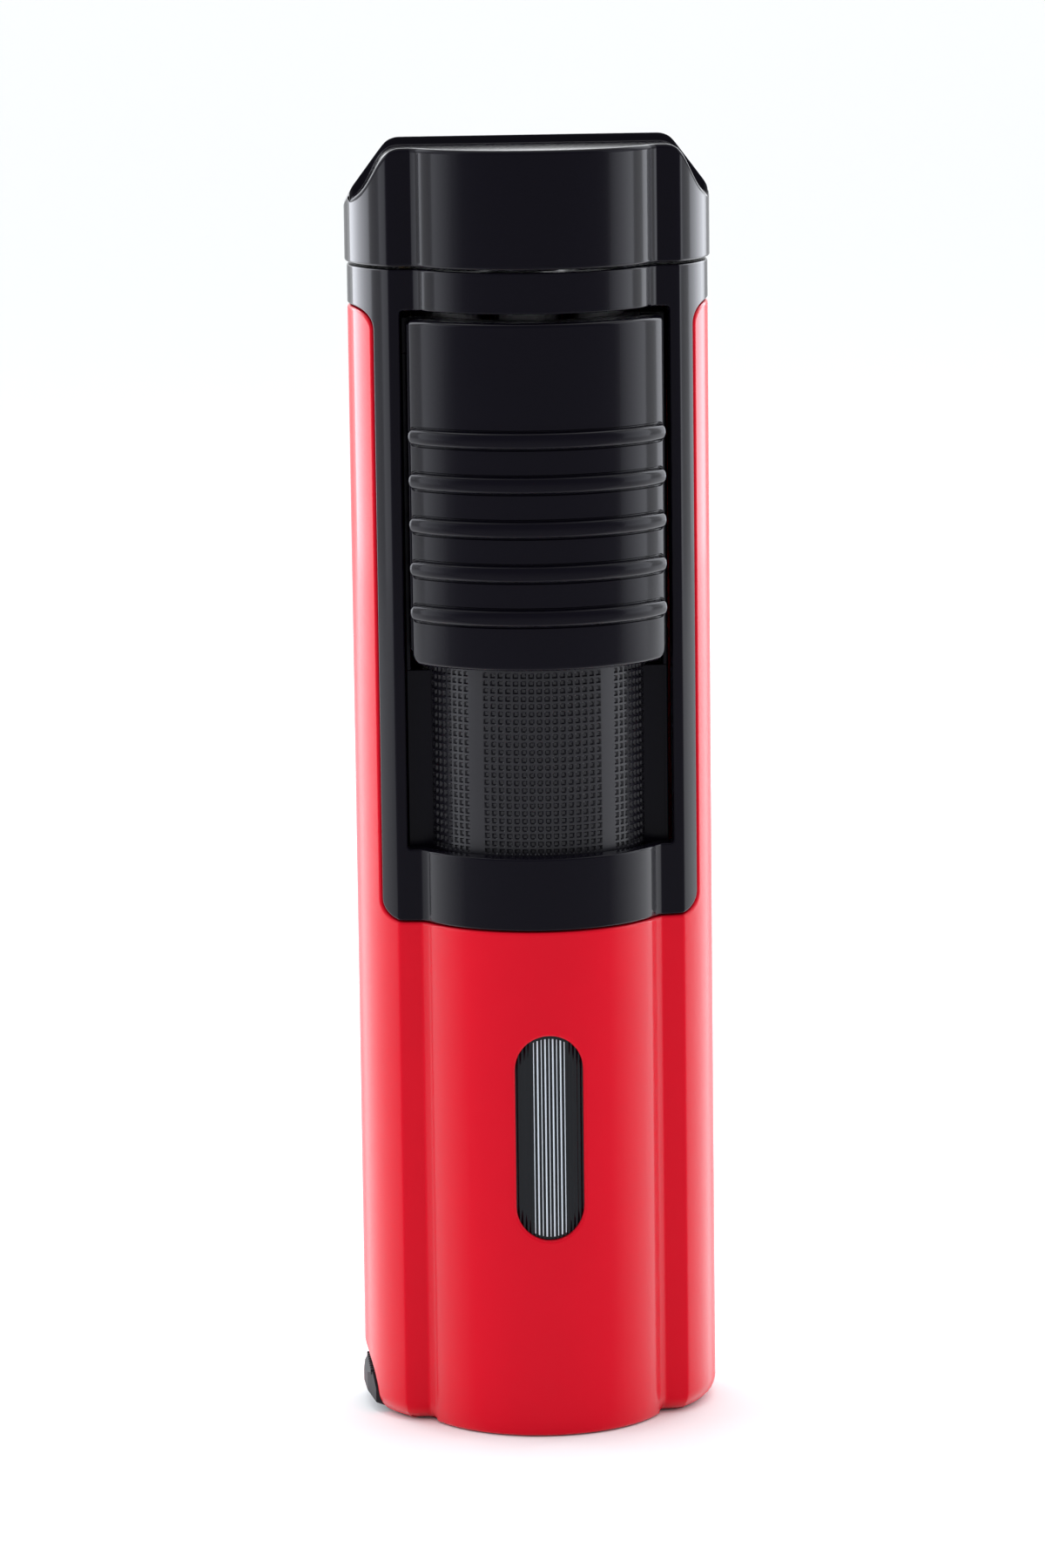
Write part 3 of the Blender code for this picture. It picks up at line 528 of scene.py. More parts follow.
def round_edges(obj, width):
    """Small edge radius, shaded smooth."""
    bevel = obj.modifiers.new("edge_radius", "BEVEL")
    bevel.width = width * MM
    bevel.segments = 2
    bevel.limit_method = "ANGLE"
    bevel.angle_limit = math.radians(SHARP_ANGLE)
    bevel.harden_normals = True
    smooth_by_angle(obj, SHARP_ANGLE)


def smooth_by_angle(obj, angle):
    """Shade smooth except across edges sharper than the angle."""
    obj.data.shade_smooth()
    obj.data.set_sharp_from_angle(angle=math.radians(angle))


def block(name, x_range, y_range, z_range):
    """Rectangular block between three pairs of limits, for pieces that are rounded afterwards."""
    work = bmesh.new()
    bmesh.ops.create_cube(work, size=1)
    size = [(high - low) * MM for low, high in (x_range, y_range, z_range)]
    centre = [(high + low) / 2 * MM for low, high in (x_range, y_range, z_range)]
    bmesh.ops.scale(work, vec=size, verts=work.verts)
    bmesh.ops.translate(work, vec=centre, verts=work.verts)
    mesh = bpy.data.meshes.new(name)
    work.to_mesh(mesh)
    work.free()
    return add_object(name, mesh)


# ---- materials

# Clear gloss over how far a surface is turned from the eye: none face on or edge on, most at a
# slant. The lid's top has it only where it is nearly edge on.
COAT_RAMP = ((0.18, 0.0), (0.62, 1.0), (0.70, 1.0), (0.82, 0.0))
TOP_COAT_RAMP = ((0.64, 0.0), (0.81, 1.0))
COAT_ROUGHNESS = 0.1
CLOUD_SCALE = 160
STREAK_SCALES = {"X": (500, 9000, 9000), "Z": (500, 500, 9000)}


def shader_of(name):
    """New material with its node tree and its surface shader."""
    made = bpy.data.materials.new(name)
    made.use_nodes = True
    return made, made.node_tree, made.node_tree.nodes["Principled BSDF"]


def uneven_gloss(tree, shader, source, low, high):
    """Roughness that wanders between two values."""
    gloss = tree.nodes.new("ShaderNodeMapRange")
    gloss.inputs["To Min"].default_value = low
    gloss.inputs["To Max"].default_value = high
    tree.links.new(source.outputs["Fac"], gloss.inputs["Value"])
    tree.links.new(gloss.outputs["Result"], shader.inputs["Roughness"])


def fine_bump(tree, shader, source, strength, depth):
    """Surface relief of the given depth in millimetres."""
    bump = tree.nodes.new("ShaderNodeBump")
    bump.inputs["Strength"].default_value = strength
    bump.inputs["Distance"].default_value = depth * MM
    tree.links.new(source.outputs["Fac"], bump.inputs["Height"])
    tree.links.new(bump.outputs["Normal"], shader.inputs["Normal"])


def noise(tree, scale, detail, vector):
    """Noise texture over the given coordinates."""
    made = tree.nodes.new("ShaderNodeTexNoise")
    made.inputs["Scale"].default_value = scale
    made.inputs["Detail"].default_value = detail
    tree.links.new(vector, made.inputs["Vector"])
    return made


def plastic(name, colour, roughness, grain=0.0, grain_size=0.15, mottle=0.0, coat=0.0, gleam=0.5,
            ramp=COAT_RAMP):
    """Moulded plastic: faint mottling, uneven gloss and a fine surface grain."""
    made, tree, shader = shader_of(name)
    shader.inputs["Base Color"].default_value = (*colour, 1)
    shader.inputs["Roughness"].default_value = roughness
    shader.inputs["IOR"].default_value = 1.5
    shader.inputs["Specular IOR Level"].default_value = gleam
    if coat:
        facing = tree.nodes.new("ShaderNodeLayerWeight")
        facing.inputs["Blend"].default_value = 0.5
        turned = tree.nodes.new("ShaderNodeValToRGB")
        stops = turned.color_ramp.elements
        for slant, _ in ramp[1:-1]:
            stops.new(slant)
        for stop, (slant, share) in zip(stops, ramp):
            stop.position = slant
            stop.color = (share * coat, share * coat, share * coat, 1)
        tree.links.new(facing.outputs["Facing"], turned.inputs["Fac"])
        tree.links.new(turned.outputs["Color"], shader.inputs["Coat Weight"])
        shader.inputs["Coat Roughness"].default_value = COAT_ROUGHNESS
    place = tree.nodes.new("ShaderNodeTexCoord")
    cloud = noise(tree, CLOUD_SCALE, 3, place.outputs["Object"])
    uneven_gloss(tree, shader, cloud, roughness * 0.85, roughness * 1.2)
    if mottle:
        tint = tree.nodes.new("ShaderNodeMix")
        tint.data_type = "RGBA"
        tint.inputs["A"].default_value = (*[c * (1 - mottle) for c in colour], 1)
        tint.inputs["B"].default_value = (*[min(1, c * (1 + mottle)) for c in colour], 1)
        tree.links.new(cloud.outputs["Fac"], tint.inputs["Factor"])
        tree.links.new(tint.outputs["Result"], shader.inputs["Base Color"])
    if grain:
        speck = noise(tree, 1 / (grain_size * MM), 2, place.outputs["Object"])
        fine_bump(tree, shader, speck, grain, 0.02)
    return made


def metal(name, colour, roughness, lines, along="Z"):
    """Metal with machining lines: round the piece, or along X for the pins."""
    made, tree, shader = shader_of(name)
    shader.inputs["Base Color"].default_value = (*colour, 1)
    shader.inputs["Metallic"].default_value = 1
    place = tree.nodes.new("ShaderNodeTexCoord")
    stretch = tree.nodes.new("ShaderNodeMapping")
    stretch.inputs["Scale"].default_value = STREAK_SCALES[along]
    tree.links.new(place.outputs["Object"], stretch.inputs["Vector"])
    streak = noise(tree, 1, 2, stretch.outputs["Vector"])
    uneven_gloss(tree, shader, streak, roughness * 0.8, roughness * 1.3)
    fine_bump(tree, shader, streak, lines, 0.01)
    return made


RED = plastic("red_gloss_plastic", (0.63, 0.004, 0.017), 0.22,
              grain=0.04, grain_size=0.4, mottle=0.04, coat=1.0, gleam=0.07)
BLACK = plastic("black_gloss_plastic", (0.0026, 0.0020, 0.0050), 0.22,
                grain=0.05, grain_size=0.25, coat=1.0, gleam=0.07)
BLACK_TOP = plastic("black_gloss_top", (0.0026, 0.0020, 0.0050), 0.22,
                    grain=0.05, grain_size=0.25, coat=1.0, gleam=0.07, ramp=TOP_COAT_RAMP)
TEXTURED = plastic("black_textured_plastic", (0.006, 0.0052, 0.0085), 0.33,
                   grain=0.1, grain_size=0.1, coat=0.6, gleam=0.32)
MATTE = plastic("black_satin_plastic", (0.007, 0.007, 0.010), 0.45,
                grain=0.25, grain_size=0.12, gleam=0.25)
RUBBER = plastic("black_rubber", (0.02, 0.02, 0.02), 0.75, grain=0.4, grain_size=0.1)
HOSE = plastic("grey_hose_rubber", (0.10, 0.10, 0.10), 0.6, grain=0.2, grain_size=0.1)
WHITE = plastic("white_plastic", (0.72, 0.72, 0.69), 0.45, grain=0.1, mottle=0.03)
STEEL = metal("brushed_steel", (0.60, 0.60, 0.62), 0.3, lines=0.25)
PIN_STEEL = metal("pin_steel", (0.60, 0.60, 0.62), 0.22, lines=0.15, along="X")
BRASS = metal("turned_brass", (0.72, 0.50, 0.22), 0.25, lines=0.3)
ZINC = metal("cast_zinc", (0.46, 0.46, 0.48), 0.5, lines=0.1)


def smoke_plastic(name):
    """Tinted clear plastic."""
    made = plastic(name, (0.003, 0.0045, 0.008), 0.12, gleam=0.08)
    shader = made.node_tree.nodes["Principled BSDF"]
    shader.inputs["Transmission Weight"].default_value = 0.25
    return made


LENS = smoke_plastic("smoked_lens")
# Painted highlight: a light colour for the middle flute crests, standing in for light reflected in the
# fluted lens.
CREST_HIGHLIGHT_PAINT = plastic("painted_crest_highlight", (0.60, 0.66, 0.72), 0.2, gleam=0.5)
TANK = smoke_plastic("smoked_tank")


def dress(obj, surface, body, slot, *replaced):
    """Give a new piece its material, its body and the CAD nodes that it stands for."""
    obj.data.materials.clear()
    obj.data.materials.append(surface)
    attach(obj, body)
    if replaced:
        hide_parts(*replaced)


# ---- case

body = Outline(CORNER_SOFTNESS)
core = Outline(INNER_SOFTNESS)
lift_body = above_outline(body)


def wall_back(wall):
    """Inner face of a wall: straight back behind the front, square to the surface elsewhere."""
    def back(u, z):
        place, _ = body.at(u)
        _, outward = core.at(u * core.end / body.end)
        turn = np.clip((np.abs(place[:, 0]) - CHANNEL_HALF_WIDTH) / INNER_BLEND, 0, 1)
        outward[:, 0] *= np.where(place[:, 1] < WIDE_Y, turn * turn * (3 - 2 * turn), 1)
        outward /= np.linalg.norm(outward, axis=1)[:, None]
        return np.column_stack((place - outward * wall, z))
    return back


def base_fillet(u, z):
    """How far the case draws in towards its lower edge."""
    place, _ = body.at(u)
    blend = np.clip((np.abs(place[:, 0]) - BULGE_EDGE[0]) / (STEP_FOOT[0] - BULGE_EDGE[0]), 0, 1)
    share = np.where(place[:, 1] < 0, 1 - (1 - FRONT_FILLET_SHARE) * (1 - blend), 1.0)
    rest = np.clip(1 - np.maximum(z, 0) / BASE_FILLET, 0, 0.9999)
    return -share * BASE_FILLET * (1 - np.sqrt(1 - rest ** 2))


def opening_side(clearance):
    """Right side of the front opening as (u, z): rounded foot, straight rail, flared shoulder."""
    edge = OPENING_HALF_WIDTH - clearance
    foot = OPENING_BOTTOM + clearance
    corner = OPENING_CORNER
    top = SHELL_TOP + clearance
    chain = np.vstack((arc((edge - corner, foot + corner), corner, -90, 0, 10),
                       arc((edge + SHOULDER, top - SHOULDER), SHOULDER, 180, 96, 10)))
    wide = HALF_WIDTH - 0.01
    return [(body.u_at_x(min(x, wide)), z) for x, z in chain if x < wide]


def opening_edge(clearance, bottom, top):
    """Edge at height top that dips to bottom round the front opening, starting at the back centre."""
    side = opening_side(clearance)
    stations = body.stations()
    right = [(0, bottom)] + [(u, bottom) for u in stations if 0 < u < side[0][0] - FOOT_MARGIN]
    right += side + [(u, top) for u in stations if side[-1][0] + SHOULDER_MARGIN < u < body.end]
    right.append((body.end, top))
    return [(-u, z) for u, z in right[:0:-1]] + right


def make_case():
    """Outer moulding with its front opening, window slot and punch arch."""
    stations = body.stations()
    top_edge = opening_edge(0, OPENING_BOTTOM, SHELL_TOP)[::-1]
    centre = body.u_at_side(WIDE_Y)
    start = math.degrees(math.asin(ARCH_Z / ARCH_HEIGHT))
    arch = arc((0, 0), 1, 180 + start, -start, 28) * (ARCH_HALF_WIDTH, ARCH_HEIGHT) + (centre, ARCH_Z)
    before = [(u, 0) for u in stations if u < arch[0][0] - NOTCH_MARGIN]
    after = [(u, 0) for u in stations if u > arch[-1][0] + NOTCH_MARGIN]
    bottom_edge = before + [tuple(p) for p in arch] + after
    bottom_edge = [(u, max(z, 0)) for u, z in bottom_edge]
    window = np.vstack((arc((0, WINDOW_TOP - WINDOW_HALF_WIDTH), WINDOW_HALF_WIDTH, 180, 0, 20),
                        arc((0, WINDOW_BOTTOM + WINDOW_HALF_WIDTH), WINDOW_HALF_WIDTH, 0, -180, 20)))
    window = [(body.u_at_x(x) if x else 0.0, z) for x, z in window]
    loop = bottom_edge + [(body.end, SHELL_TOP / 2)] + top_edge + [(-body.end, SHELL_TOP / 2)]
    fillet_rows = [BASE_FILLET * (1 - math.cos(math.radians(a))) for a in range(10, 91, 10)]
    lines = uprights(stations, -1, SHELL_TOP + 1) + levels(fillet_rows, body.end)
    shell = sheet("outer_shell_moulding", [loop, window],
                  [(top_edge, False), (bottom_edge, False), (window, True)],
                  lift_body, wall_back(SHELL_WALL), CASE_EDGE, lines, base_fillet, body.end)
    dress(shell, RED, "case", "red_gloss", "outer_shell")
    # Inner faces deep behind the channel get the black satin material: painted shade in the recess, and a
    # stand-in for the frame's black channel walls.
    shell.data.materials.append(MATTE)
    for face in shell.data.polygons:
        middle = face.center / MM
        place, outward = body.at(np.array([body.nearest(middle.x, middle.y)]))
        inward = outward[0] @ (middle.x - place[0][0], middle.y - place[0][1])
        if inward < -SHADE_PAINT_DEPTH and middle.z > LIP_TOP - SHADE_PAINT_DROP:
            face.material_index = 1


def make_frame():
    """Collar, side rails and lip in one moulding, with the channel cut through it."""
    stations = body.stations()
    bottom = OPENING_BOTTOM + SEAM
    step = SHELL_TOP + SEAM
    lower_edge = opening_edge(SEAM, bottom, step)
    upper_edge = [(u, COLLAR_TOP) for u in stations[::-1]]
    edge_u = body.u_at_x(CHANNEL_HALF_WIDTH)
    corner = CHANNEL_CORNER
    high, low = SHELL_TOP, LIP_TOP
    channel = np.vstack((arc((-edge_u + corner, high - corner), corner, 180, 90, 4),
                         arc((edge_u - corner, high - corner), corner, 90, 0, 4),
                         arc((edge_u - corner, low + corner), corner, 0, -90, 4),
                         arc((-edge_u + corner, low + corner), corner, -90, -180, 4)))
    middle = (step + COLLAR_TOP) / 2
    loop = lower_edge + [(body.end, middle)] + upper_edge + [(-body.end, middle)]
    moulding = sheet("front_frame_moulding", [loop, channel],
                     [(lower_edge, False), (upper_edge, False), (channel, True)],
                     lift_body, wall_back(FRAME_WALL), FRAME_EDGE,
                     uprights(stations, bottom - 1, COLLAR_TOP + 1), seam=body.end)
    dress(moulding, BLACK, "case", "black_gloss", "front_frame")


def make_ears():
    """Two hinge knuckles with their feet, on the rear of the frame's collar."""
    pin_low, pin_high = limits("lid_hinge_pin")
    _, leaf_high = limits("lid_hinge_leaf")
    axis_y, axis_z = (pin_low.y + pin_high.y) / 2, (pin_low.z + pin_high.z) / 2
    knuckle = leaf_high.y - axis_y
    outer = pin_high.x + EAR_GAP
    inner = outer - EAR_WIDTH
    hole = (pin_high.y - pin_low.y) / 2 + EAR_GAP
    ring = arc((axis_y, axis_z), knuckle, 0, 360, 40)[:-1]
    bore = arc((axis_y, axis_z), hole, 0, 360, 40)[:-1]
    for sign, label in SIDES:
        ends = sorted((sign * inner, sign * outer))
        verts = [(x, y, z) for x in ends for y, z in ring] + [(x, y, z) for x in ends for y, z in bore]
        count = len(ring)
        faces = []
        for index in range(count):
            follow = (index + 1) % count
            faces += [(index, follow, count + follow, count + index),
                      (3 * count + index, 3 * count + follow, 2 * count + follow, 2 * count + index),
                      (follow, index, 2 * count + index, 2 * count + follow),
                      (count + index, count + follow, 3 * count + follow, 3 * count + index)]
        ear = make_object("frame_hinge_knuckle_" + label, verts, faces)
        round_edges(ear, EAR_EDGE)
        dress(ear, BLACK, "case", "black_gloss", "front_frame")
        foot = block("frame_hinge_foot_" + label, (ends[0] + EAR_FOOT_INSET, ends[1] - EAR_FOOT_INSET),
                     (axis_y + EAR_FOOT_Y[0], axis_y + EAR_FOOT_Y[1]),
                     (COLLAR_TOP - EAR_FOOT_SINK, axis_z - knuckle * 0.8))
        round_edges(foot, 0.1)
        dress(foot, BLACK, "case", "black_gloss", "front_frame")


make_case()
make_frame()
make_ears()


# ---- thumb slider

lift_slider = above_cylinder(SLIDER_RADIUS, SLIDER_CENTRE_Y)


def slider_back(u, z):
    """Points on the plate's inner face."""
    return lift_slider(u, z, np.full(len(u), -SLIDER_THICKNESS))


def rib_distance(u, z, end):
    """Distance in the plate to the nearest rib's centre line."""
    nearest = np.clip(np.round((z - RIB_BOTTOM) / RIB_PITCH), 0, RIB_COUNT - 1)
    across = np.maximum(np.abs(u) - end, 0)
    return np.hypot(across, z - RIB_BOTTOM - nearest * RIB_PITCH)


def rib_rings(z, rib_end):
    """Lines round one rib, closer together where its crown turns steeply."""
    groove_end = RIB_RADIUS + RIB_GROOVE
    radii = [RIB_RADIUS * share for share in (0.35, 0.62, 0.8, 0.91, 0.97, 0.993, 1.0)]
    radii += [RIB_RADIUS + 0.02, RIB_RADIUS + RIB_GROOVE / 2, groove_end - 0.02]
    radii += [groove_end + 0.02, groove_end + 0.06]
    rings = []
    for radius in radii:
        right = arc((rib_end, z), radius, -90, 90, 12)
        left = arc((-rib_end, z), radius, 90, 270, 12)
        rings.append((np.vstack((right, left)), True))
    return rings + [([(-rib_end, z), (rib_end, z)], False)]


def make_slider():
    """Curved plate with five ribs, its turned-back sides and the legs behind it."""
    edge = SLIDER_RADIUS * math.asin(SLIDER_HALF_WIDTH / SLIDER_RADIUS)
    rib_end = edge - RIB_RADIUS - RIB_MARGIN
    half_groove = RIB_GROOVE / 2

    def ribs(u, z):
        distance = rib_distance(u, z, rib_end)
        crown = np.clip(1 - (distance / RIB_RADIUS) ** RIB_POWER, 0, 1) ** (1 / RIB_POWER) * RIB_PROUD
        depth = np.clip(1 - np.abs(distance - RIB_RADIUS - half_groove) / half_groove, 0, 1)
        return np.where(distance < RIB_RADIUS, crown, -(depth * RIB_GROOVE_DEPTH))

    low, high = SLIDER_BOTTOM, SLIDER_TOP
    foot, top = SLIDER_FOOT_CORNER, SLIDER_TOP_CORNER
    loop = np.vstack((arc((-edge + foot, low + foot), foot, 180, 270, 8),
                      arc((edge - foot, low + foot), foot, 270, 360, 8),
                      arc((edge - top, high - top), top, 0, 90, 5),
                      arc((-edge + top, high - top), top, 90, 180, 5)))
    lines = uprights(np.linspace(-edge, edge, 61)[1:-1], low - 1, high + 1)
    for index in range(RIB_COUNT):
        lines += rib_rings(RIB_BOTTOM + RIB_PITCH * index, rib_end)
    plate = sheet("thumb_slider_plate", [loop], [(loop, True)], lift_slider, slider_back,
                  SLIDER_EDGE, lines, ribs)
    dress(plate, BLACK, "slider", "black_gloss", "thumb_slider")
    for sign, label in SIDES:
        span = sorted(sign * x for x in LEG_X)
        leg = block("thumb_slider_leg_" + label, span, (LEG_FRONT_Y, slider_high.y), (LEG_BOTTOM, LEG_TOP))
        round_edges(leg, 0.15)
        dress(leg, MATTE, "slider", "black_gloss", "thumb_slider")
        span = sorted((sign * SKIRT_X, sign * (SLIDER_HALF_WIDTH - SKIRT_INSET)))
        skirt = block("thumb_slider_skirt_" + label, span, (SKIRT_FRONT_Y, SKIRT_BACK_Y),
                      (low + foot, high - top))
        round_edges(skirt, 0.12)
        dress(skirt, BLACK, "slider", "black_gloss", "thumb_slider")


make_slider()


# ---- panel behind the slider

lift_panel = above_cylinder(PANEL_RADIUS, PANEL_CENTRE_Y)


def pit_cells(start, pitch, count):
    """Cuts along a row of pits, and how deep each cut is: 0 on a ridge, 1 on a pit's floor."""
    places = []
    depths = []
    for cell in range(count):
        first = start + cell * pitch
        places += [first] + [first + pitch * share for share in PIT_CUTS]
        depths += [0.0, 0.0, 1.0, 1.0, 0.0]
    return places + [start + count * pitch], depths + [0.0]


def make_panel():
    """Curved panel with three bands of small square pits, between its flat wings."""
    end = PANEL_RADIUS * math.radians(PANEL_HALF_ANGLE)
    middle, side, outer = [PANEL_RADIUS * math.asin(x / PANEL_RADIUS)
                           for x in (MIDDLE_GRID_X, SIDE_GRID_X, GRID_OUTER_X)]
    us, u_depth = [-end], [0.0]
    for low, high in ((-outer, -side), (-middle, middle), (side, outer)):
        count = round((high - low) / PIT_PITCH)
        places, depths = pit_cells(low, (high - low) / count, count)
        us += places
        u_depth += depths
    us.append(end)
    u_depth.append(0.0)
    base, top = panel_low.z, panel_high.z
    start = LIP_TOP - PITS_BELOW_LIP
    places, depths = pit_cells(start, PIT_PITCH, int((top - PITS_BELOW_TOP - start) / PIT_PITCH))
    us = np.array(us)
    vs = np.array([base, base + PANEL_FOOT] + places + [top])
    v_depth = [0.0, 0.0] + depths + [0.0]

    def front(u, z):
        deep = np.interp(u, us, u_depth) * np.interp(z, vs, v_depth)
        return lift_panel(u, z, -PIT_DEPTH * deep)

    def back(u, z):
        return lift_panel(u, z, np.full(len(u), -PANEL_THICKNESS))

    panel = grid_solid("channel_panel_knurled", us, vs, front, back)
    smooth_by_angle(panel, 20)
    dress(panel, TEXTURED, "case", "black_textured", "channel_panel")
    for sign, label in SIDES:
        rails = {"channel_panel_wing_": (WING_INNER_X, panel_high.x, base, SLOT_BOTTOM),
                 "channel_panel_inner_rail_": (WING_INNER_X, SLOT_X[0], SLOT_BOTTOM, SLOT_TOP),
                 "channel_panel_outer_rail_": (SLOT_X[1], panel_high.x, SLOT_BOTTOM, SLOT_TOP),
                 "channel_panel_cap_": (WING_INNER_X, panel_high.x, SLOT_TOP, top)}
        for rail, (near, far, low, high) in rails.items():
            wing = block(rail + label, sorted((sign * near, sign * far)), WING_Y, (low, high))
            round_edges(wing, 0.06)
            dress(wing, BLACK, "case", "black_textured", "channel_panel")


make_panel()


# ---- sight window

def lens_face(x):
    """Where the window's bowed face lies, front to back."""
    bow = WINDOW_BOW - WINDOW_RECESS
    return FRONT_Y + WINDOW_RECESS + bow - np.sqrt(bow ** 2 - x ** 2)


def lens_height(x, share):
    """Height at a share of the way up the window, which has round ends."""
    low, high = WINDOW_BOTTOM + WINDOW_GAP, WINDOW_TOP - WINDOW_GAP
    rise = LENS_HALF_WIDTH - np.sqrt(np.maximum(LENS_HALF_WIDTH ** 2 - x ** 2, 0))
    return low + rise + share * (high - low - 2 * rise)


def make_lens():
    """Smoked window that fills its slot, with fine upright flutes."""
    count = int(2 * LENS_HALF_WIDTH / FLUTE_PITCH)
    us = np.linspace(-LENS_HALF_WIDTH, LENS_HALF_WIDTH, count * FLUTE_STEPS + 1)

    def front(x, share):
        flute = FLUTE_DEPTH * (np.abs(np.cos(x / FLUTE_PITCH * math.pi)) - 1)
        return np.column_stack((x, lens_face(x) - flute, lens_height(x, share)))

    def back(x, share):
        depth = lens_face(x) + lens_high.y - lens_low.y + SHELL_WALL
        return np.column_stack((x, depth, lens_height(x, share)))

    lens = grid_solid("window_lens_fluted", us, np.linspace(0, 1, 12), front, back)
    smooth_by_angle(lens, 70)
    dress(lens, LENS, "case", "smoke_clear", "window_lens")


def make_painted_highlights():
    """Painted highlights: light strips on the middle flutes' crests, standing in for light reflected in the
    lens, every other one wide.
    """
    verts, faces = [], []
    for index in range(-CREST_COUNT, CREST_COUNT + 1):
        x = index * FLUTE_PITCH
        wide = FLUTE_PITCH * (WIDE_CREST if index % 2 else NARROW_CREST)
        first = len(verts)
        for share in CREST_ENDS:
            for angle in np.radians(np.linspace(0, 180, CREST_STEPS + 1)):
                place = x - wide * math.cos(angle)
                end = lens_height(np.array([place]), share)[0]
                verts.append((place, float(lens_face(x)) - wide * CREST_RISE * math.sin(angle), end))
        last = first + CREST_STEPS
        upper = last + 1
        for step in range(CREST_STEPS):
            faces.append((first + step, first + step + 1, upper + step + 1, upper + step))
        faces += [(first, upper, upper + CREST_STEPS, last), tuple(range(last, first - 1, -1)),
                  tuple(range(upper, upper + CREST_STEPS + 1))]
    crests = make_object("window_lens_painted_highlights", verts, faces)
    smooth_by_angle(crests, 50)
    dress(crests, CREST_HIGHLIGHT_PAINT, "case", "smoke_clear", "window_lens")


make_lens()
make_painted_highlights()


# ---- lid

cap = Outline(CORNER_SOFTNESS, LID_OVERHANG)
cap_core = Outline(INNER_SOFTNESS, LID_OVERHANG)
lift_lid = above_outline(cap)


def soft_profile(knots, softness):
    """Height over distance from the middle, through the knots with rounded corners."""
    reach, step, window = 16, 0.02, 60
    xs = np.arange(0, reach, step)
    knot_x, knot_z = zip(*knots)
    raw = np.interp(np.concatenate((-xs[:0:-1], xs)), knot_x, knot_z)
    kernel = np.exp(-(np.arange(-window, window + 1) * step / softness) ** 2 / 2)
    smooth = np.convolve(np.pad(raw, window, mode="edge"), kernel / kernel.sum(), mode="valid")
    return xs, smooth[len(xs) - 1:]


# The lid's outline ahead of the riser and behind it
FRONT_KNOTS = ((-16, LID_FRONT_TOP), (9.5, LID_FRONT_TOP), (10.1, 90.35), (10.6, 89.75), (11.1, 88.7),
               (11.7, 87.6), (12.3, 87.05), (12.9, 86.75), (16, 86.7))
REAR_KNOTS = ((-16, LID_TOP), (9.3, LID_TOP), (9.95, 91.0), (12.8, 87.2), (16, 83.0))
front_profile = soft_profile(FRONT_KNOTS, 0.25)
rear_profile = soft_profile(REAR_KNOTS, 0.2)


def fall_back(y):
    """Height limit of the lid's rounded rear."""
    drop = np.clip((y - REAR_BEND) / REAR_BEND, 0, 1)
    slope = LID_TOP - np.clip((y - LID_RISER_Y) / (REAR_BEND - LID_RISER_Y), 0, 1) * REAR_SLOPE
    return slope - REAR_BEND * (1 - np.sqrt(1 - drop ** 2))


def lid_height(x, y):
    """Height of the lid's top: the lower front step, the riser and the part behind it."""
    ahead = np.interp(np.abs(x), *front_profile)
    shoulder = np.clip((np.abs(x) - SHOULDER_X) / SHOULDER_WIDTH, 0, 1)
    retreat = SHOULDER_FALL * np.maximum(y - LID_RISER_Y, 0) * shoulder * shoulder * (3 - 2 * shoulder)
    behind = np.interp(np.abs(x), *rear_profile) - retreat
    far = fall_back(y)
    behind = np.minimum(behind, far) - CREASE_DIP * np.exp(-np.abs(behind - far) / CREASE_WIDTH)
    turn = np.clip((y - LID_RISER_Y + RISER_DEPTH / 2) / RISER_DEPTH, 0, 1)
    return ahead + (behind - ahead) * turn * turn * (3 - 2 * turn)


def lid_top(x, y, height):
    """Points above the lid's top face."""
    return np.column_stack((x, y, lid_height(x, y) + height))


def lid_ceiling(x, y):
    """Inner face of the lid's top, drawn in so that it stays within the wall."""
    height = np.minimum(lid_height(x, y) - LID_ROOF, CEILING_TOP)
    return np.column_stack((x * CEILING_TUCK, WIDE_Y + (y - WIDE_Y) * CEILING_TUCK, height))


def lid_wall_back(u, z):
    """Inner face of the lid's wall."""
    place, outward = cap_core.at(u * cap_core.end / cap.end)
    return np.column_stack((place - outward * LID_WALL, z))


def length_from_back(x):
    """Length of outline from the back centre round to x."""
    rear = (cap.u > 0) & (cap.points[:, 1] > WIDE_Y)
    order = np.argsort(cap.points[rear, 0])
    return cap.end - float(np.interp(x, cap.points[rear, 0][order], cap.u[rear][order]))


def make_lid_top(rim):
    """Top of the lid, with lines close together over the riser, the rear bend and the shoulders."""
    across = (list(np.linspace(LID_RISER_Y - RISER_DEPTH / 2, LID_RISER_Y + RISER_DEPTH / 2, 7))
              + list(np.linspace(REAR_BEND, 2 * REAR_BEND, 27))
              + list(np.linspace(-9.5, -1.0, 12)) + list(np.linspace(0, 5, 8)))
    along = list(np.linspace(9.0, 12.8, 27)) + [2.0, 4.0, 6.0, 8.0]
    reach_x, reach_y = LID_REACH
    lines = levels(across, reach_x)
    lines += [([(sign * x, -reach_y), (sign * x, reach_y)], False) for x in along for sign in (1, -1)]
    top = sheet("lid_shell_top", [rim], [(rim, True)], lid_top, lid_ceiling, LID_EDGE, lines)
    dress(top, BLACK_TOP, "lid", "black_gloss", "lid_shell")


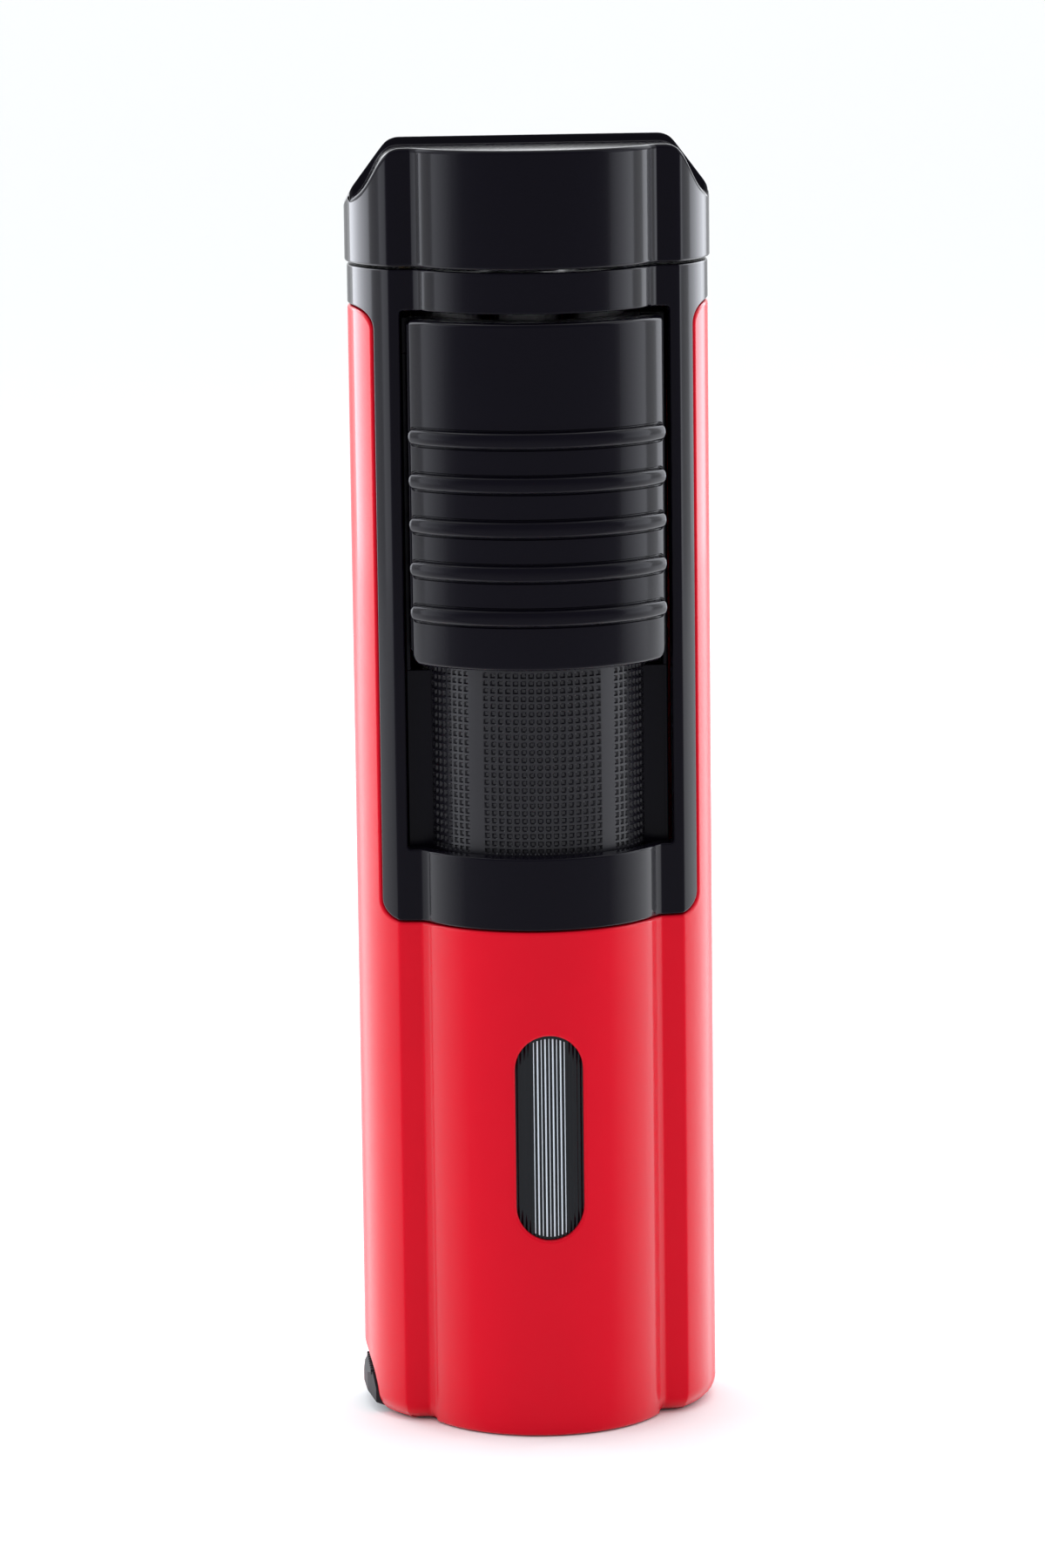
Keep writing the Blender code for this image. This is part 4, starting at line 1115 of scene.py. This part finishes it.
def make_lid_wall(rim_u, rim_top):
    """Upright wall of the lid, with a notch at the back for the hinge."""
    end = cap.end
    notch_u = end - length_from_back(NOTCH_X)
    stations = cap.stations()
    bottom = ([(-end, NOTCH_TOP), (-notch_u, NOTCH_TOP), (-notch_u, LID_BOTTOM)]
              + [(u, LID_BOTTOM) for u in stations if abs(u) < notch_u - NOTCH_MARGIN]
              + [(notch_u, LID_BOTTOM), (notch_u, NOTCH_TOP), (end, NOTCH_TOP)])
    upper = list(zip(rim_u, rim_top)) + [(end, rim_top[0])]
    lines = [(upper, False)] + uprights(stations, LID_BOTTOM - 1, LID_TOP + 1) + levels(LID_WALL_ROWS, end)
    wall = sheet("lid_shell_wall", [bottom + upper[::-1]], [(bottom, False)], lift_lid, lid_wall_back,
                 LID_RIM_EDGE, lines, seam=end)
    dress(wall, BLACK, "lid", "black_gloss", "lid_shell")


def make_lid():
    """Lid in two sheets that meet just below its top edge."""
    rim_u = np.array(cap.stations()[:-1])
    rim, _ = cap.at(rim_u)
    make_lid_top(rim)
    make_lid_wall(rim_u, lid_height(rim[:, 0], rim[:, 1]) - LID_EDGE)


make_lid()


# ---- pieces that keep their CAD shape

def keep(node, surface, edge=0.0):
    """Give a CAD piece its material and, where edge is set, an edge radius."""
    piece = frame["nodes"][node]
    piece.data.materials.clear()
    piece.data.materials.append(surface)
    for polygon in piece.data.polygons:
        polygon.material_index = 0
    smooth_by_angle(piece, SHARP_ANGLE)
    if edge:
        round_edges(piece, edge)


def keep_all():
    """Dress every piece that keeps its CAD shape."""
    for node in ("base_plate", "tank_cover", "piezo_body", "slider_carrier", "lid_hinge_leaf"):
        keep(node, MATTE, 0.12)
    keep("punch_arm", MATTE, 0.15)
    for node in ("base_screw_front", "base_screw_rear", "gas_lever", "punch_cutter", "refill_stem",
                 "slider_spring", "lid_spring", "burner_tube_1", "burner_tube_2", "burner_tube_3"):
        keep(node, STEEL)
    for node in ("lid_heat_plate", "burner_deck"):
        keep(node, STEEL, 0.08)
    for node in ("lid_hinge_pin", "gas_lever_pin", "punch_pin"):
        keep(node, PIN_STEEL, 0.06)
    for node in ("jet_nozzle_1", "jet_nozzle_2", "jet_nozzle_3", "refill_valve", "gas_valve_body",
                 "gas_valve_stem", "flame_adjuster", "electrode_wire"):
        keep(node, BRASS, 0.06 if node == "flame_adjuster" else 0)
    keep("burner_block", ZINC, 0.2)
    keep("tank_body", TANK, 0.2)
    keep("tank_seal", RUBBER)
    keep("gas_hose", HOSE)
    keep("piezo_plunger", WHITE, 0.1)


def make_tab_ribs():
    """Fine ribs on the finger tab of the folding punch."""
    tab_y = (punch_low.y + punch_high.y) / 2
    along = (punch_low.x + TAB_RIB_X[0], punch_low.x + TAB_RIB_X[1])
    for index in range(TAB_RIB_COUNT):
        middle = tab_y + (index - (TAB_RIB_COUNT - 1) / 2) * TAB_RIB_PITCH
        rib = block("punch_arm_rib_%d" % (index + 1), along,
                    (middle - TAB_RIB_PITCH / 4, middle + TAB_RIB_PITCH / 4), (TAB_RIB_BOTTOM, TAB_RIB_TOP))
        round_edges(rib, 0.06)
        dress(rib, MATTE, "punch", "black_matte")


keep_all()
make_tab_ribs()


# ---- camera, light and floor

CAMERA_PLACE = (-31.7, -417.1, 114.9)
CAMERA_LENS = 137.0
CAMERA_TURN = 4.22  # degrees
CAMERA_TILT = 9.46
CAMERA_ROLL = -0.72
LIGHT_AIM = (0, 0, 50)
FLOOR_HALF_WIDTH = 12.0  # metres
FLOOR_GAP = 0.02
WORLD_FRONT = 0.6  # strength seen ahead of the torch
WORLD_BACK = 1.6  # strength seen behind it
WORLD_TURN = (-0.6, 0.7)  # front-to-back part of the direction where the two are reached
SKY = (0.88, 0.91, 1.0)


def soft_light(name, place, size, power, tint=(1, 1, 1)):
    """Rectangular area light turned towards the torch."""
    lamp = bpy.data.lights.new(name, "AREA")
    lamp.shape = "RECTANGLE"
    lamp.size, lamp.size_y = size[0] * MM, size[1] * MM
    lamp.energy = power
    lamp.color = tint
    holder = add_object(name, lamp)
    holder.location = Vector(place) * MM
    holder.rotation_euler = (Vector(LIGHT_AIM) - Vector(place)).to_track_quat("-Z", "Y").to_euler()


def make_camera():
    """Long lens from the front, a little above and to the left."""
    camera = bpy.data.cameras.new("camera")
    camera.lens = CAMERA_LENS
    camera.sensor_width = 36
    eye = add_object("camera", camera)
    eye.location = Vector(CAMERA_PLACE) * MM
    turn, tilt, roll = [math.radians(angle) for angle in (CAMERA_TURN, CAMERA_TILT, CAMERA_ROLL)]
    aim = Euler((math.pi / 2 - tilt, 0, -turn)).to_matrix()
    eye.rotation_euler = (aim @ Matrix.Rotation(roll, 3, "Z")).to_euler()
    bpy.context.scene.camera = eye


def make_floor():
    floor_mesh = bpy.data.meshes.new("floor")
    span = FLOOR_HALF_WIDTH
    floor_mesh.from_pydata([(-span, -span, 0), (span, -span, 0), (span, span, 0), (-span, span, 0)], [],
                           [(0, 1, 2, 3)])
    floor = add_object("floor", floor_mesh)
    floor.location.z = -FLOOR_GAP * MM
    floor.data.materials.append(plastic("pale_floor", (0.9, 0.9, 0.9), 0.7))


def make_world():
    """Even studio light that is dimmer from the front than from the back."""
    world = bpy.data.worlds.new("studio")
    bpy.context.scene.world = world
    world.use_nodes = True
    tree = world.node_tree
    tree.nodes["Background"].inputs["Color"].default_value = (0.96, 0.98, 1, 1)
    heading = tree.nodes.new("ShaderNodeTexCoord")
    split = tree.nodes.new("ShaderNodeSeparateXYZ")
    rising = tree.nodes.new("ShaderNodeMapRange")
    rising.inputs["From Min"].default_value = WORLD_TURN[0]
    rising.inputs["From Max"].default_value = WORLD_TURN[1]
    rising.inputs["To Min"].default_value = WORLD_FRONT
    rising.inputs["To Max"].default_value = WORLD_BACK
    tree.links.new(heading.outputs["Generated"], split.inputs["Vector"])
    tree.links.new(split.outputs["Y"], rising.inputs["Value"])
    tree.links.new(rising.outputs["Result"], tree.nodes["Background"].inputs["Strength"])


def make_lights():
    soft_light("left_softbox", (-420, -60, 150), (220, 420), 0.6, SKY)
    soft_light("right_softbox", (420, -60, 150), (220, 420), 0.6, SKY)
    soft_light("left_rim_softbox", (-330, 260, 190), (320, 420), 1.1, SKY)
    soft_light("right_rim_softbox", (330, 260, 190), (320, 420), 0.75, SKY)
    soft_light("top_softbox", (0, 60, 480), (500, 400), 0.6)


make_camera()
make_floor()
make_world()
make_lights()
bpy.context.scene.view_settings.view_transform = "Standard"
